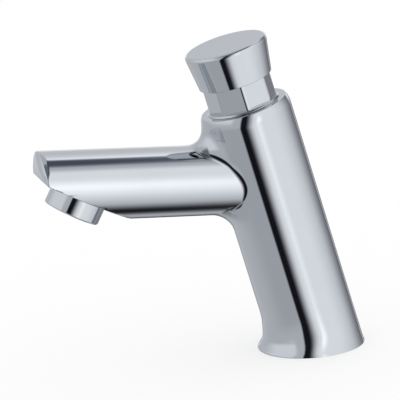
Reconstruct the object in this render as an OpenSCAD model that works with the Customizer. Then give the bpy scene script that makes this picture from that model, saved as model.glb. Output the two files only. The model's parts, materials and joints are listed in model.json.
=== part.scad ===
// Push timed tap: a leaning chromed column on a flared foot, a short spout with an aerator,
// and a push button on the column's end that opens a spring-closed valve.
// Sizes are in millimetres. The deck is the plane z = 0 and the spout points along -Y.

/* [Column] */
// Diameter of the foot where it stands on the deck
base_d = 50; // [48:0.5:56]
// Height over which the foot's flare runs into the column
foot_h = 18; // [14:1:22]
// Height of the straight edge at the foot's bottom
foot_land = 0.8; // [0.4:0.1:1.5]
// Diameter of the column
column_d = 42; // [40:0.5:46]
// Lean of the column towards the spout, from the vertical
column_lean = 13; // [8:0.5:16]
// Length of the column along its axis, from the deck to the rim
column_l = 119; // [116:1:135]
// Width of the bevel round the rim
rim_bevel_w = 1.6; // [0.8:0.1:2]
// Height of the bevel round the rim
rim_bevel_h = 3.2; // [1.5:0.1:4]

/* [Spout] */
// Diameter of the spout
spout_d = 32; // [30:0.5:34]
// Rise of the spout from the horizontal
spout_rise = 5.5; // [2:0.5:9]
// Distance along the column's axis at which the spout's axis leaves it
spout_h = 83; // [80:1:86]
// Distance from the foot's centre to the spout's end face
spout_reach = 119; // [115:1:140]
// Forward lean of the end face from the vertical
tip_lean = 3; // [0:0.5:6]
// Distance from the spout's end face back to the middle of the aerator's seat
outlet_setback = 16; // [14:0.5:21]
// Depth of the aerator's seat below the spout's axis
outlet_drop = 5; // [4:0.25:6]
// Tilt of the jet forward from the vertical
jet_angle = 30; // [26:0.5:33]
// Radius of the blend between the spout's top and the column
root_top_r = 7.5; // [5:0.5:9]
// Radius of the blend between the spout's underside and the column
root_under_r = 13; // [9:0.5:15]
// Diameter of the water passage in the spout
waterway_d = 17; // [14:0.5:17.5]

/* [Button] */
// Diameter of the neck that the button slides on
neck_d = 31; // [30:0.5:31.5]
// Depth of the neck's eight flats below its round
neck_flat_depth = 0.8; // [0.4:0.1:1.1]
// Turn of the flats about the column's axis
neck_flat_turn = -5.6; // [-22:0.1:22]
// Height of neck in view below the button at rest
neck_show = 12.4; // [10:0.2:16]
// Length of neck that stays inside the button at rest
neck_overlap = 2.1; // [1.5:0.1:4]
// Diameter of the button at its skirt
button_foot_d = 34; // [33.6:0.2:36]
// Diameter of the button at its top
button_top_d = 38; // [36:0.5:42]
// Height of the button
button_h = 16.2; // [15:0.2:22]
// Thickness of the button's top
button_roof = 2.5; // [1.5:0.1:3]
// Width of the bevel round the button's top edge
button_bevel = 0.6; // [0.3:0.1:1]
// Diameter of the boss under the button's top
button_boss_d = 12; // [10:0.5:16]
// Travel of the button
stroke = 8; // [5:0.5:8.5]

/* [Plunger] */
// Diameter of the spindle
spindle_d = 6; // [5.5:0.1:7]
// Diameter of the spindle's threaded lower end
spindle_tail_d = 5; // [4.5:0.1:5]
// Diameter of the spindle's collar above the valve washer
collar_d = 9; // [8:0.1:9.4]
// Thickness of the spindle's collar
collar_t = 1.6; // [1:0.1:2.5]
// Width across the flats of the button's lock nut
lock_nut_af = 10; // [9:0.5:12]
// Thickness of the button's lock nut
lock_nut_t = 4; // [3:0.1:4.5]
// Thickness of the piston
piston_t = 5; // [4.5:0.1:6]
// Room above the piston at rest
piston_headroom = 4.5; // [3.5:0.1:6]
// Thickness of the piston's lip seal
lip_seal_t = 2.1; // [1.5:0.1:2.4]
// Width of the piston's lip seal across its section
lip_seal_w = 1.9; // [1.2:0.1:2.2]
// Diameter of the timing jet
jet_d = 3; // [2.4:0.1:3.4]
// Diameter of the timing jet's drilling
jet_bore_d = 0.7; // [0.4:0.1:1]
// Diameter of the two spindle clips
clip_d = 10; // [9:0.1:11]
// Thickness of a spindle clip
clip_t = 0.8; // [0.6:0.1:1]
// Depth of a clip's groove in the spindle
clip_groove = 0.45; // [0.3:0.05:0.6]
// Width of a clip's mouth
clip_mouth = 4.2; // [3.5:0.1:4.6]
// Diameter of the valve washer
valve_washer_d = 16; // [15:0.2:16.4]
// Thickness of the valve washer
valve_washer_t = 2.5; // [2:0.1:3]
// Thickness of the metal disc behind the valve washer
valve_plate_t = 2; // [1.5:0.1:3]
// Width across the flats of the valve nut
valve_nut_af = 8; // [7.5:0.5:10]
// Thickness of the valve nut
valve_nut_t = 3.5; // [2.5:0.1:4.5]
// Length of spindle that stands out below the valve nut
tail_show = 1.5; // [0.5:0.1:3]

/* [Cartridge] */
// Diameter of the body's bore for the cartridge
cartridge_bore_d = 27; // [26.6:0.1:27.4]
// Distance along the column's axis to the cartridge's seat
cartridge_foot = 62; // [59:1:64]
// Thickness of the gasket under the cartridge
seat_gasket_t = 1.5; // [1:0.1:2]
// Thickness of the valve seat
valve_seat_t = 4; // [3.4:0.1:4.4]
// Diameter of the hole in the valve seat
valve_seat_bore_d = 11; // [10.6:0.2:12]
// Height of the valve seat's sealing lip
seat_lip_h = 0.5; // [0.3:0.1:1]
// Width of the valve seat's sealing lip
seat_lip_w = 1.2; // [0.8:0.1:1.5]
// Diameter of the chamber in which the piston slides
dashpot_d = 21; // [20.6:0.1:21.2]
// Diameter of the chamber behind the cartridge's windows
cage_d = 19; // [18:0.2:19.6]
// Width of each of the cartridge's windows
window_w = 9; // [6:0.5:10]
// Thickness of the wall between the two chambers
bulkhead_t = 5; // [4.6:0.1:6]
// Distance from the spout's axis up to that wall
bulkhead_rise = 5.5; // [4:0.5:7]
// Outer diameter of the guide bush and of the spindle seal
bush_d = 11; // [10:0.2:12]
// Thickness of the spindle seal
spindle_seal_t = 1.4; // [1.2:0.1:2]
// Height of the lip that carries the guide bush
bush_lip = 0.8; // [0.5:0.1:1.2]
// Thickness of the washer under the spring
spring_washer_t = 0.8; // [0.5:0.1:1.2]
// Mean diameter of the return spring
spring_d = 16; // [15:0.2:16.6]
// Diameter of the spring's wire
spring_wire = 1.4; // [1:0.1:1.5]
// Number of turns in the spring
spring_turns = 6; // [5:1:7]
// Thickness of the o-rings
o_ring_d = 1.6; // [1.2:0.1:1.7]
// Thickness of the o-ring inside the neck
neck_ring_d = 1.3; // [1:0.1:1.4]

/* [Neck fixing] */
// Diameter of the thread in the body's mouth
mouth_d = 33; // [32.6:0.1:33.6]
// Depth of the body's mouth
mouth_depth = 9; // [8.5:0.1:11]
// Thickness of the cartridge's flange
flange_t = 3; // [2:0.1:3.4]
// Thickness of the slip washer on the flange
slip_washer_t = 0.6; // [0.4:0.1:1]
// Height of the neck's inner wall above the rim
partition_rise = 2.5; // [2:0.1:4]
// Thickness of the neck's inner wall
partition_t = 4; // [3.5:0.1:4.5]
// Diameter of the recess in the neck's top
neck_recess_d = 24; // [20:0.5:26]
// Thickness of the wiper seal
wiper_t = 1.9; // [1.2:0.1:2.5]

/* [Aerator] */
// Diameter of the aerator's ring
aerator_d = 26; // [25.4:0.2:28]
// Height of the aerator's ring in view
aerator_h = 8.4; // [7:0.2:10]
// Diameter of the aerator's thread
aerator_thread_d = 24; // [23.6:0.1:24.6]
// Depth of the aerator's socket
aerator_socket = 7; // [6.5:0.1:8]
// Thickness of the aerator's gasket
aerator_gasket_t = 1.5; // [1:0.1:2]
// Wall of the aerator's ring
aerator_wall = 1.4; // [1.2:0.1:1.8]
// Height of the lip under the aerator's screen
aerator_lip_h = 1.9; // [1.2:0.1:2.5]
// Width of the lip under the aerator's screen
aerator_lip_w = 1.1; // [0.8:0.1:1.6]
// Thickness of the aerator's screen
screen_t = 0.6; // [0.4:0.1:1]
// Diameter of the holes in the screen
screen_hole_d = 1.6; // [1:0.1:1.8]
// Distance between the holes in the screen
screen_pitch = 2.5; // [2.2:0.1:3]
// Wall of the insert's skirt
insert_wall = 1.2; // [0.8:0.1:1.6]
// Thickness of the insert's jet plate
jet_plate_t = 2; // [1.5:0.1:3]
// Number of holes in the jet plate
jet_count = 12; // [8:1:14]
// Diameter of the holes in the jet plate
jet_hole_d = 1.4; // [1:0.1:1.8]
// Diameter of the circle of holes in the jet plate
jet_ring_d = 12.6; // [10:0.2:14]

/* [Deck fixing] */
// Bore of the supply thread
inlet_d = 9; // [8.6:0.1:9.4]
// Depth of the supply thread
inlet_depth = 14; // [10:1:18]
// Diameter of the filter above the supply thread
filter_d = 8; // [7.6:0.1:8.4]
// Thickness of the filter
filter_t = 1.5; // [1:0.1:2.5]
// Diameter of the holes in the filter
filter_hole_d = 1.1; // [0.8:0.1:1.3]
// Distance of the filter's outer holes from its middle
filter_pitch = 1.6; // [1.5:0.1:2]
// Diameter of the passage above the filter
passage_d = 6.4; // [5:0.1:7]
// Bore of the thread for the fixing stud
stud_d = 6.8; // [6:0.1:8]
// Depth of the thread for the fixing stud
stud_depth = 18; // [12:1:22]
// Distance from the foot's centre back to the fixing stud
stud_back = 9.5; // [8.5:0.5:12]
// Outer diameter of the seal under the foot
base_seal_d = 46; // [44:0.5:46.6]
// Width of the seal under the foot
base_seal_w = 3.5; // [2.5:0.1:4]
// Thickness of the seal under the foot
base_seal_t = 1.8; // [1.2:0.1:2.5]

/* [Fits] */
// Radial play of a piece that stays put in its seat
seat_play = 0.05; // [0.03:0.01:0.08]
// Radial play of a piece that slides
slide_play = 0.05; // [0.03:0.01:0.1]
// Radial play between the button and the neck
button_play = 0.35; // [0.25:0.05:0.45]
// Gap between the valve washer and its seat at rest
valve_gap = 0.1; // [0.05:0.01:0.2]
// Clear room past the end of a stroke
end_room = 1; // [0.5:0.1:2]
// Gap at the inner end of a tube or a socket
end_gap = 0.3; // [0.2:0.05:0.5]
// Gap round a flange, a washer or the piston
rim_gap = 0.3; // [0.2:0.05:0.4]
// Depth of an o-ring's groove beyond the ring
groove_play = 0.05; // [0.03:0.01:0.08]
// Width of an o-ring's groove beyond the ring
groove_room = 0.4; // [0.2:0.05:0.5]
// Room round the valve washer in its chamber
washer_room = 1.5; // [1.2:0.1:2]

/* [Hidden] */
$fn = 72;

// Finishes
chrome = [0.78, 0.80, 0.82];
brass = [0.80, 0.66, 0.36];
steel = [0.66, 0.67, 0.69];
rubber = [0.10, 0.10, 0.11];
white_plastic = [0.90, 0.90, 0.87];

// Column and spout
base_r = base_d / 2;
column_r = column_d / 2;
spout_r = spout_d / 2;
foot_back_step = 0.25;
foot_sink = 0.6;
foot_power = 1.3;
foot_steps = 6;
column_foot_y = base_r - column_r / cos(column_lean) - foot_back_step;
spout_root_y = column_foot_y - spout_h * sin(column_lean);
spout_root_z = spout_h * cos(column_lean);
outlet_reach = spout_reach - outlet_setback;
outlet_k = (spout_root_y + outlet_reach - outlet_drop * sin(spout_rise)) / cos(spout_rise);
outlet_z = spout_root_z + outlet_k * sin(spout_rise) - outlet_drop * cos(spout_rise);
tip_k = (spout_root_y + spout_reach) / cos(spout_rise);
tip_z = spout_root_z + tip_k * sin(spout_rise);
waterway_l = outlet_k - outlet_drop / 2;
hall = 4 * column_l;
over = 1;

// Blend at the spout's root: an arc in the upper corner, which ends below the rim's bevel,
// and a larger one in the lower corner
corner = 90 - column_lean - spout_rise;
blend_sink = 0.3;
least_blend_r = 0.5;
top_corner_k = (column_r + spout_r * cos(corner)) / sin(corner);
top_corner_a = spout_h + top_corner_k * cos(corner) + (spout_r - blend_sink) * sin(corner);
top_climb = (1 + cos(corner)) / sin(corner) - cos(corner);
top_room = column_l - rim_bevel_h - top_corner_a;
top_r = min(root_top_r, max(least_blend_r, top_room / top_climb));
top_k = top_corner_k + top_r * (1 + cos(corner)) / sin(corner);
under_k = (column_r - spout_r * cos(corner) + root_under_r * (1 - cos(corner))) / sin(corner);
blend_inset = 1;
blend_w = spout_r - blend_inset;
blend_slice = 0.1;
top_arc = [0, 30, 60, 90];
under_arc = [0, corner / 2, corner];

// Levels along the column's axis, from the rim down to the flange and up to the button
step_a = column_l - mouth_depth;
flange_a = step_a + flange_t;
sleeve_foot_a = flange_a + slip_washer_t;
thread_relief = 1;
sleeve_thread_a = column_l - thread_relief;
partition_a = column_l + partition_rise;
partition_top_a = partition_a + partition_t;
tube_top_a = partition_a - end_gap;
button_foot_a = column_l + neck_show;
button_top_a = button_foot_a + button_h;
roof_a = button_top_a - button_roof;
sleeve_top_a = button_foot_a + neck_overlap;
boss_a = partition_top_a + stroke + end_room + lock_nut_t;
spindle_top_a = roof_a - end_gap;

// Levels of the piston, the spring and the wall below it
bulkhead_a = spout_h + bulkhead_rise;
bulkhead_top_a = bulkhead_a + bulkhead_t;
spring_a = bulkhead_top_a + spring_washer_t;
piston_top_a = partition_a - piston_headroom;
piston_a = piston_top_a - piston_t;

// Levels of the valve and the chamber below it
cartridge_a = cartridge_foot + seat_gasket_t;
seat_top_a = cartridge_a + valve_seat_t;
washer_top_a = cartridge_a - seat_lip_h - valve_gap;
washer_a = washer_top_a - valve_washer_t;
plate_a = washer_a - valve_plate_t;
nut_a = plate_a - valve_nut_t;
spindle_end_a = nut_a - tail_show;
chamber_floor_a = spindle_end_a - stroke - end_room;

// Radii
neck_r = neck_d / 2;
neck_flat_count = 8;
neck_corner_r = (neck_r - neck_flat_depth) / cos(180 / neck_flat_count);
mouth_r = mouth_d / 2;
bore_r = cartridge_bore_d / 2;
cartridge_r = bore_r - seat_play;
dashpot_r = dashpot_d / 2;
spindle_r = spindle_d / 2;
guide_r = spindle_r + slide_play;
bush_r = bush_d / 2;
tube_step = 0.4;
tube_r = cartridge_r - tube_step;
valve_seat_r = valve_seat_bore_d / 2;
chamber_r = valve_washer_d / 2 + washer_room;
button_bore_r = neck_r + button_play;
flange_r = mouth_r - rim_gap;
piston_r = dashpot_r - rim_gap;

// Grooves and windows of the cartridge
groove_land = 2.4;
upper_land = 4;
neck_land = 4;
window_margin = 1;
groove_w = o_ring_d + groove_room;
groove_r = cartridge_r - o_ring_d - groove_play;
lower_groove_a = cartridge_a + groove_land;
upper_groove_a = step_a - upper_land - groove_w;
neck_groove_w = neck_ring_d + groove_room;
neck_groove_r = tube_r - neck_ring_d - groove_play;
neck_groove_a = flange_a + neck_land;
window_a = lower_groove_a + groove_w + groove_land;
window_top_a = bulkhead_a - window_margin;

// Grooves of the piston
lip_seal_r = dashpot_r - slide_play;
lip_groove_r = lip_seal_r - lip_seal_w - groove_play;
lip_groove_a = piston_a + (piston_t - lip_seal_t) / 2;
jet_offset = (clip_d / 2 + lip_groove_r) / 2;

// Supply and stud holes under the foot
inlet_y = column_foot_y - chamber_floor_a * sin(column_lean);
passage_l = (chamber_floor_a + chamber_r * sin(column_lean)) * cos(column_lean);
base_seal_r = base_seal_d / 2;

// Aerator, along the jet from the seat on the spout's cut face
aerator_r = aerator_d / 2;
thread_r = aerator_thread_d / 2;
housing_r = thread_r - seat_play;
housing_bore_r = housing_r - aerator_wall;
housing_a = aerator_gasket_t - aerator_socket;
insert_r = housing_bore_r - seat_play;
screen_a = aerator_h - aerator_lip_h - screen_t;
aerator_bevel = 0.5;
screen_rows = 3;

// Return spring: a wire swept round the spindle with close end turns
spring_l = piston_a - spring_a - 2 * seat_play;
spring_rings = 8;
wire_sides = 6;
end_turn_gap = 0.5;
end_pitch = spring_wire + end_turn_gap;
mid_pitch = (spring_l - spring_wire - 2 * end_pitch) / (spring_turns - 2);
function spring_rise(t) =
    t < 1 ? t * end_pitch :
    t < spring_turns - 1 ? end_pitch + (t - 1) * mid_pitch :
    spring_l - spring_wire - (spring_turns - t) * end_pitch;
function spring_point(t) = [
    spring_d / 2 * cos(360 * t),
    spring_d / 2 * sin(360 * t),
    spring_wire / 2 + spring_rise(t)
];
function wire_ring(t) = [
    for (s = [0:wire_sides - 1])
        let (c = spring_point(t), w = spring_wire / 2, out = w * cos(360 * s / wire_sides))
            [
                c[0] + out * cos(360 * t),
                c[1] + out * sin(360 * t),
                c[2] + w * sin(360 * s / wire_sides)
            ]
];
ring_count = spring_turns * spring_rings;
wire_points = [for (i = [0:ring_count]) each wire_ring(i / spring_rings)];
wire_faces = concat(
    [
        for (i = [0:ring_count - 1], s = [0:wire_sides - 1], half = [0, 1])
            let (a = i * wire_sides + s, b = i * wire_sides + (s + 1) % wire_sides)
                half == 0 ? [a, b, a + wire_sides] : [b, b + wire_sides, a + wire_sides]
    ],
    [for (s = [1:wire_sides - 2]) [0, s + 1, s]],
    [for (s = [1:wire_sides - 2]) [for (v = [0, s, s + 1]) ring_count * wire_sides + v]]
);
turn_gap = min([
    for (i = [0:ring_count - spring_rings])
        norm(spring_point(i / spring_rings + 1) - spring_point(i / spring_rings)) - spring_wire
]);
echo(least_gap_between_spring_turns = turn_gap);

// Places: on the column's axis, on the spout's axis, and on the jet's axis
module on_column(a) {
    translate([0, column_foot_y, 0]) rotate([column_lean, 0, 0])
        translate([0, 0, a]) children();
}
module on_spout(k) {
    translate([0, spout_root_y, spout_root_z]) rotate([90 - spout_rise, 0, 0])
        translate([0, 0, k]) children();
}
module on_outlet(h) {
    translate([0, -outlet_reach, outlet_z]) rotate([180 - jet_angle, 0, 0])
        translate([0, 0, h]) children();
}

// A plain ring, and an o-ring that fills a groove of the given outer radius
module ring(inner, outer, h) {
    rotate_extrude() translate([inner, 0]) square([outer - inner, h]);
}
module o_ring(outer, d) {
    rotate_extrude() translate([outer - d / 2, 0]) circle(d = d, $fn = 24);
}
module hex_nut(af, bore, h) {
    difference() {
        cylinder(d = af / cos(30), h = h, $fn = 6);
        translate([0, 0, -over]) cylinder(r = bore, h = h + 2 * over);
    }
}

// Outside of the body
function foot_radius(u) =
    column_r - foot_sink + (base_r - column_r + foot_sink) * pow(1 - u, foot_power);
module foot() {
    rotate_extrude() polygon(concat(
        [[0, 0], [base_r, 0]],
        [
            for (i = [0:foot_steps])
                [foot_radius(i / foot_steps), foot_land + foot_h * i / foot_steps]
        ],
        [[0, foot_land + foot_h]]
    ));
}
module column() {
    on_column(0) rotate_extrude() polygon([
        [0, -column_r],
        [column_r, -column_r],
        [column_r, column_l - rim_bevel_h],
        [column_r - rim_bevel_w, column_l],
        [0, column_l]
    ]);
}
module spout() {
    difference() {
        on_spout(0) cylinder(r = spout_r, h = tip_k + spout_r);
        translate([0, -spout_reach, tip_z]) rotate([tip_lean, 0, 0])
            translate([-hall / 2, -hall, -hall / 2]) cube(hall);
        on_outlet(0) translate([-hall / 2, -hall / 2, 0]) cube(hall);
    }
}
module blend_slice_at(k, up, down) {
    on_spout(k) translate([0, (up - down) / 2, 0])
        scale([blend_w, (up + down) / 2, 1]) cylinder(r = 1, h = blend_slice, $fn = 32);
}
module top_slice(turn) {
    blend_slice_at(
        top_k - top_r * sin(turn),
        spout_r - blend_sink + top_r * (1 - cos(turn)),
        blend_w
    );
}
module under_slice(turn, inward = 0) {
    blend_slice_at(
        under_k - root_under_r * sin(turn) - inward,
        blend_w,
        spout_r - blend_sink + root_under_r * (1 - cos(turn))
    );
}
module root_blend() {
    for (i = [0:len(top_arc) - 2]) hull() {
        top_slice(top_arc[i]);
        top_slice(top_arc[i + 1]);
    }
    hull() {
        top_slice(90);
        blend_slice_at(spout_r, spout_r - blend_sink + top_r, blend_w);
    }
    for (i = [0:len(under_arc) - 2]) hull() {
        under_slice(under_arc[i]);
        under_slice(under_arc[i + 1]);
    }
    hull() {
        under_slice(corner);
        under_slice(corner, column_r / 2);
    }
}

// Inside of the body
module body_bores() {
    on_column(step_a) cylinder(r = mouth_r, h = mouth_depth + over);
    on_column(cartridge_foot) cylinder(r = bore_r, h = step_a - cartridge_foot + over);
    on_column(chamber_floor_a) cylinder(r = chamber_r, h = cartridge_foot - chamber_floor_a + over);
    on_spout(0) cylinder(d = waterway_d, h = waterway_l);
    on_outlet(-aerator_socket) cylinder(r = thread_r, h = aerator_socket + over);
    translate([0, inlet_y, -over]) cylinder(d = inlet_d, h = inlet_depth + over);
    translate([0, inlet_y, 0]) cylinder(d = filter_d, h = inlet_depth + filter_t);
    translate([0, inlet_y, 0]) cylinder(d = passage_d, h = passage_l);
    translate([0, stud_back, -over]) cylinder(d = stud_d, h = stud_depth + over);
    translate([0, 0, -over])
        ring(base_seal_r - base_seal_w, base_seal_r, base_seal_t + seat_play + over);
}
module body_casting() {
    color(chrome) difference() {
        union() {
            foot();
            column();
            spout();
            root_blend();
        }
        translate([-hall / 2, -hall / 2, -hall]) cube(hall);
        body_bores();
    }
}

// Seals and filter at the foot
module base_seal() {
    color(rubber) ring(base_seal_r - base_seal_w + seat_play, base_seal_r - seat_play, base_seal_t);
}
module inlet_filter() {
    color(steel) translate([0, inlet_y, inlet_depth]) difference() {
        cylinder(r = filter_d / 2 - seat_play, h = filter_t - seat_play);
        translate([0, 0, -over]) cylinder(d = filter_hole_d, h = filter_t + 2 * over);
        for (turn = [0:60:300]) rotate(turn)
            translate([filter_pitch, 0, -over])
                cylinder(d = filter_hole_d, h = filter_t + 2 * over);
    }
}

// Cartridge: a turned housing with windows, its seals and its valve seat
module seat_gasket() {
    color(rubber) on_column(cartridge_foot)
        ring(chamber_r + rim_gap, cartridge_r - seat_play, seat_gasket_t);
}
module cartridge_housing() {
    color(brass) on_column(0) difference() {
        rotate_extrude() polygon([
            [dashpot_r, cartridge_a],
            [cartridge_r, cartridge_a],
            [cartridge_r, lower_groove_a],
            [groove_r, lower_groove_a],
            [groove_r, lower_groove_a + groove_w],
            [cartridge_r, lower_groove_a + groove_w],
            [cartridge_r, upper_groove_a],
            [groove_r, upper_groove_a],
            [groove_r, upper_groove_a + groove_w],
            [cartridge_r, upper_groove_a + groove_w],
            [cartridge_r, step_a],
            [flange_r, step_a],
            [flange_r, flange_a],
            [tube_r, flange_a],
            [tube_r, neck_groove_a],
            [neck_groove_r, neck_groove_a],
            [neck_groove_r, neck_groove_a + neck_groove_w],
            [tube_r, neck_groove_a + neck_groove_w],
            [tube_r, tube_top_a],
            [dashpot_r, tube_top_a],
            [dashpot_r, bulkhead_top_a],
            [bush_r, bulkhead_top_a],
            [bush_r, bulkhead_a + bush_lip],
            [bush_r - bush_lip, bulkhead_a + bush_lip],
            [bush_r - bush_lip, bulkhead_a],
            [cage_d / 2, bulkhead_a],
            [cage_d / 2, seat_top_a],
            [dashpot_r, seat_top_a]
        ]);
        for (turn = [0:90:270]) rotate(turn)
            translate([0, -window_w / 2, window_a])
                cube([2 * bore_r, window_w, window_top_a - window_a]);
    }
}
module lower_o_ring() {
    color(rubber) on_column(lower_groove_a + groove_w / 2) o_ring(cartridge_r, o_ring_d);
}
module upper_o_ring() {
    color(rubber) on_column(upper_groove_a + groove_w / 2) o_ring(cartridge_r, o_ring_d);
}
module neck_o_ring() {
    color(rubber) on_column(neck_groove_a + neck_groove_w / 2) o_ring(tube_r, neck_ring_d);
}
module valve_seat() {
    color(steel) on_column(cartridge_a) {
        ring(valve_seat_r, dashpot_r - seat_play, valve_seat_t);
        translate([0, 0, -seat_lip_h])
            ring(valve_seat_r, valve_seat_r + seat_lip_w, seat_lip_h + valve_seat_t / 2);
    }
}
module guide_bush() {
    bush_a = bulkhead_a + bush_lip;
    color(white_plastic) on_column(bush_a)
        ring(guide_r, bush_r - seat_play, bulkhead_top_a - spindle_seal_t - bush_a);
}
module spindle_seal() {
    color(rubber) on_column(bulkhead_top_a - spindle_seal_t)
        ring(guide_r, bush_r - seat_play, spindle_seal_t);
}
module spring_washer() {
    color(steel) on_column(bulkhead_top_a)
        ring(spindle_r + rim_gap, dashpot_r - rim_gap, spring_washer_t);
}
module return_spring() {
    color(steel) on_column(spring_a + seat_play) polyhedron(wire_points, wire_faces);
}

// Neck: the visible sleeve that holds the cartridge down and guides the button
module slip_washer() {
    color(white_plastic) on_column(flange_a) ring(tube_r + seat_play, flange_r, slip_washer_t);
}
module neck_flats() {
    difference() {
        translate([0, 0, column_l]) cylinder(r = mouth_r, h = sleeve_top_a - column_l + 1);
        rotate([0, 0, neck_flat_turn]) translate([0, 0, column_l - 1])
            cylinder(r = neck_corner_r, h = sleeve_top_a - column_l + 3, $fn = neck_flat_count);
    }
}
module neck_sleeve() {
    color(chrome) on_column(0) difference() {
        rotate_extrude() polygon([
            [tube_r + seat_play, sleeve_foot_a],
            [mouth_r - seat_play, sleeve_foot_a],
            [mouth_r - seat_play, sleeve_thread_a],
            [neck_r, sleeve_thread_a],
            [neck_r, sleeve_top_a],
            [neck_recess_d / 2, sleeve_top_a],
            [neck_recess_d / 2, partition_top_a],
            [bush_r, partition_top_a],
            [bush_r, partition_top_a - wiper_t],
            [guide_r, partition_top_a - wiper_t],
            [guide_r, partition_a],
            [tube_r + seat_play, partition_a]
        ]);
        neck_flats();
    }
}
module wiper_seal() {
    color(rubber) on_column(partition_top_a - wiper_t) ring(guide_r, bush_r - seat_play, wiper_t);
}

// Aerator in the spout's socket
module aerator_housing() {
    color(chrome) on_outlet(0) rotate_extrude() polygon([
        [housing_bore_r, housing_a],
        [housing_r, housing_a],
        [housing_r, 0],
        [aerator_r, 0],
        [aerator_r, aerator_h - aerator_bevel],
        [aerator_r - aerator_bevel, aerator_h],
        [housing_bore_r - aerator_lip_w, aerator_h],
        [housing_bore_r - aerator_lip_w, aerator_h - aerator_lip_h],
        [housing_bore_r, aerator_h - aerator_lip_h]
    ]);
}
module aerator_gasket() {
    color(rubber) on_outlet(-aerator_socket)
        ring(housing_bore_r - aerator_lip_w, housing_r, aerator_gasket_t);
}
module aerator_insert() {
    insert_a = housing_a + seat_play;
    color(white_plastic) on_outlet(insert_a) difference() {
        cylinder(r = insert_r, h = screen_a - insert_a);
        translate([0, 0, jet_plate_t])
            cylinder(r = insert_r - insert_wall, h = screen_a - insert_a);
        for (i = [0:jet_count - 1]) rotate(360 * i / jet_count)
            translate([jet_ring_d / 2, 0, -over])
                cylinder(d = jet_hole_d, h = jet_plate_t + 2 * over);
    }
}
module aerator_screen() {
    color(steel) on_outlet(screen_a) difference() {
        cylinder(r = insert_r, h = screen_t);
        for (row = [-screen_rows:screen_rows], i = [0:2 * screen_rows - abs(row)])
            translate([
                screen_pitch * (i - screen_rows + abs(row) / 2),
                screen_pitch * row * sin(60),
                -over
            ]) cylinder(d = screen_hole_d, h = screen_t + 2 * over, $fn = 16);
    }
}

// Plunger: everything that moves with the button
module push_button() {
    color(chrome) on_column(0) difference() {
        rotate_extrude() polygon([
            [0, button_foot_a],
            [button_foot_d / 2, button_foot_a],
            [button_top_d / 2, button_top_a - button_bevel],
            [button_top_d / 2 - button_bevel, button_top_a],
            [0, button_top_a]
        ]);
        difference() {
            translate([0, 0, button_foot_a - over])
                cylinder(r = button_bore_r, h = roof_a - button_foot_a + over);
            translate([0, 0, boss_a]) cylinder(d = button_boss_d, h = button_h);
        }
        translate([0, 0, boss_a - over])
            cylinder(r = spindle_r + seat_play, h = roof_a - boss_a + over);
    }
}
module button_lock_nut() {
    color(steel) on_column(boss_a - lock_nut_t)
        hex_nut(lock_nut_af, spindle_r + seat_play, lock_nut_t);
}
module spindle() {
    groove = spindle_r - clip_groove;
    color(steel) on_column(0) rotate_extrude() polygon([
        [0, spindle_end_a],
        [spindle_tail_d / 2, spindle_end_a],
        [spindle_tail_d / 2, washer_top_a],
        [collar_d / 2, washer_top_a],
        [collar_d / 2, washer_top_a + collar_t],
        [spindle_r, washer_top_a + collar_t],
        [spindle_r, piston_a - clip_t],
        [groove, piston_a - clip_t],
        [groove, piston_a],
        [spindle_r, piston_a],
        [spindle_r, piston_top_a],
        [groove, piston_top_a],
        [groove, piston_top_a + clip_t],
        [spindle_r, piston_top_a + clip_t],
        [spindle_r, spindle_top_a],
        [0, spindle_top_a]
    ]);
}
module piston() {
    color(white_plastic) on_column(0) difference() {
        rotate_extrude() polygon([
            [spindle_r + seat_play, piston_a],
            [piston_r, piston_a],
            [piston_r, lip_groove_a],
            [lip_groove_r, lip_groove_a],
            [lip_groove_r, lip_groove_a + lip_seal_t],
            [piston_r, lip_groove_a + lip_seal_t],
            [piston_r, piston_top_a],
            [spindle_r + seat_play, piston_top_a]
        ]);
        translate([0, jet_offset, piston_a - over]) cylinder(d = jet_d, h = piston_t + 2 * over);
    }
}
module piston_lip_seal() {
    color(rubber) on_column(lip_groove_a) ring(lip_groove_r + groove_play, lip_seal_r, lip_seal_t);
}
module timing_jet() {
    color(brass) on_column(piston_a) translate([0, jet_offset, 0])
        ring(jet_bore_d / 2, jet_d / 2 - seat_play, piston_t);
}
module clip_ring() {
    inner = spindle_r - clip_groove + groove_play;
    difference() {
        ring(inner, clip_d / 2, clip_t);
        translate([0, -clip_mouth / 2, -over]) cube([clip_d, clip_mouth, clip_t + 2 * over]);
    }
}
module piston_clips() {
    color(steel) {
        on_column(piston_a - clip_t) clip_ring();
        on_column(piston_top_a) clip_ring();
    }
}
module valve_washer() {
    color(rubber) on_column(washer_a)
        ring(spindle_tail_d / 2 + seat_play, valve_washer_d / 2, valve_washer_t);
}
module valve_plate() {
    color(brass) on_column(plate_a)
        ring(spindle_tail_d / 2 + seat_play, valve_washer_d / 2, valve_plate_t);
}
module valve_nut() {
    color(steel) on_column(nut_a)
        hex_nut(valve_nut_af, spindle_tail_d / 2 + seat_play, valve_nut_t);
}

body_casting();
base_seal();
inlet_filter();
seat_gasket();
cartridge_housing();
lower_o_ring();
upper_o_ring();
neck_o_ring();
valve_seat();
guide_bush();
spindle_seal();
spring_washer();
return_spring();
slip_washer();
neck_sleeve();
wiper_seal();
aerator_housing();
aerator_gasket();
aerator_insert();
aerator_screen();
push_button();
button_lock_nut();
spindle();
piston();
piston_lip_seal();
timing_jet();
piston_clips();
valve_washer();
valve_plate();
valve_nut();
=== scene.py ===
"""A push timed tap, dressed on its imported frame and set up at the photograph's view.

Lengths are in metres. The deck is the plane z = 0 and the spout points along -Y.
"""

import json
import logging
import math
from collections.abc import Callable, Iterator, Sequence
from contextlib import contextmanager
from dataclasses import dataclass
from enum import Enum

import bmesh
import bpy
import numpy as np
from mathutils import Matrix, Vector


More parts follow.
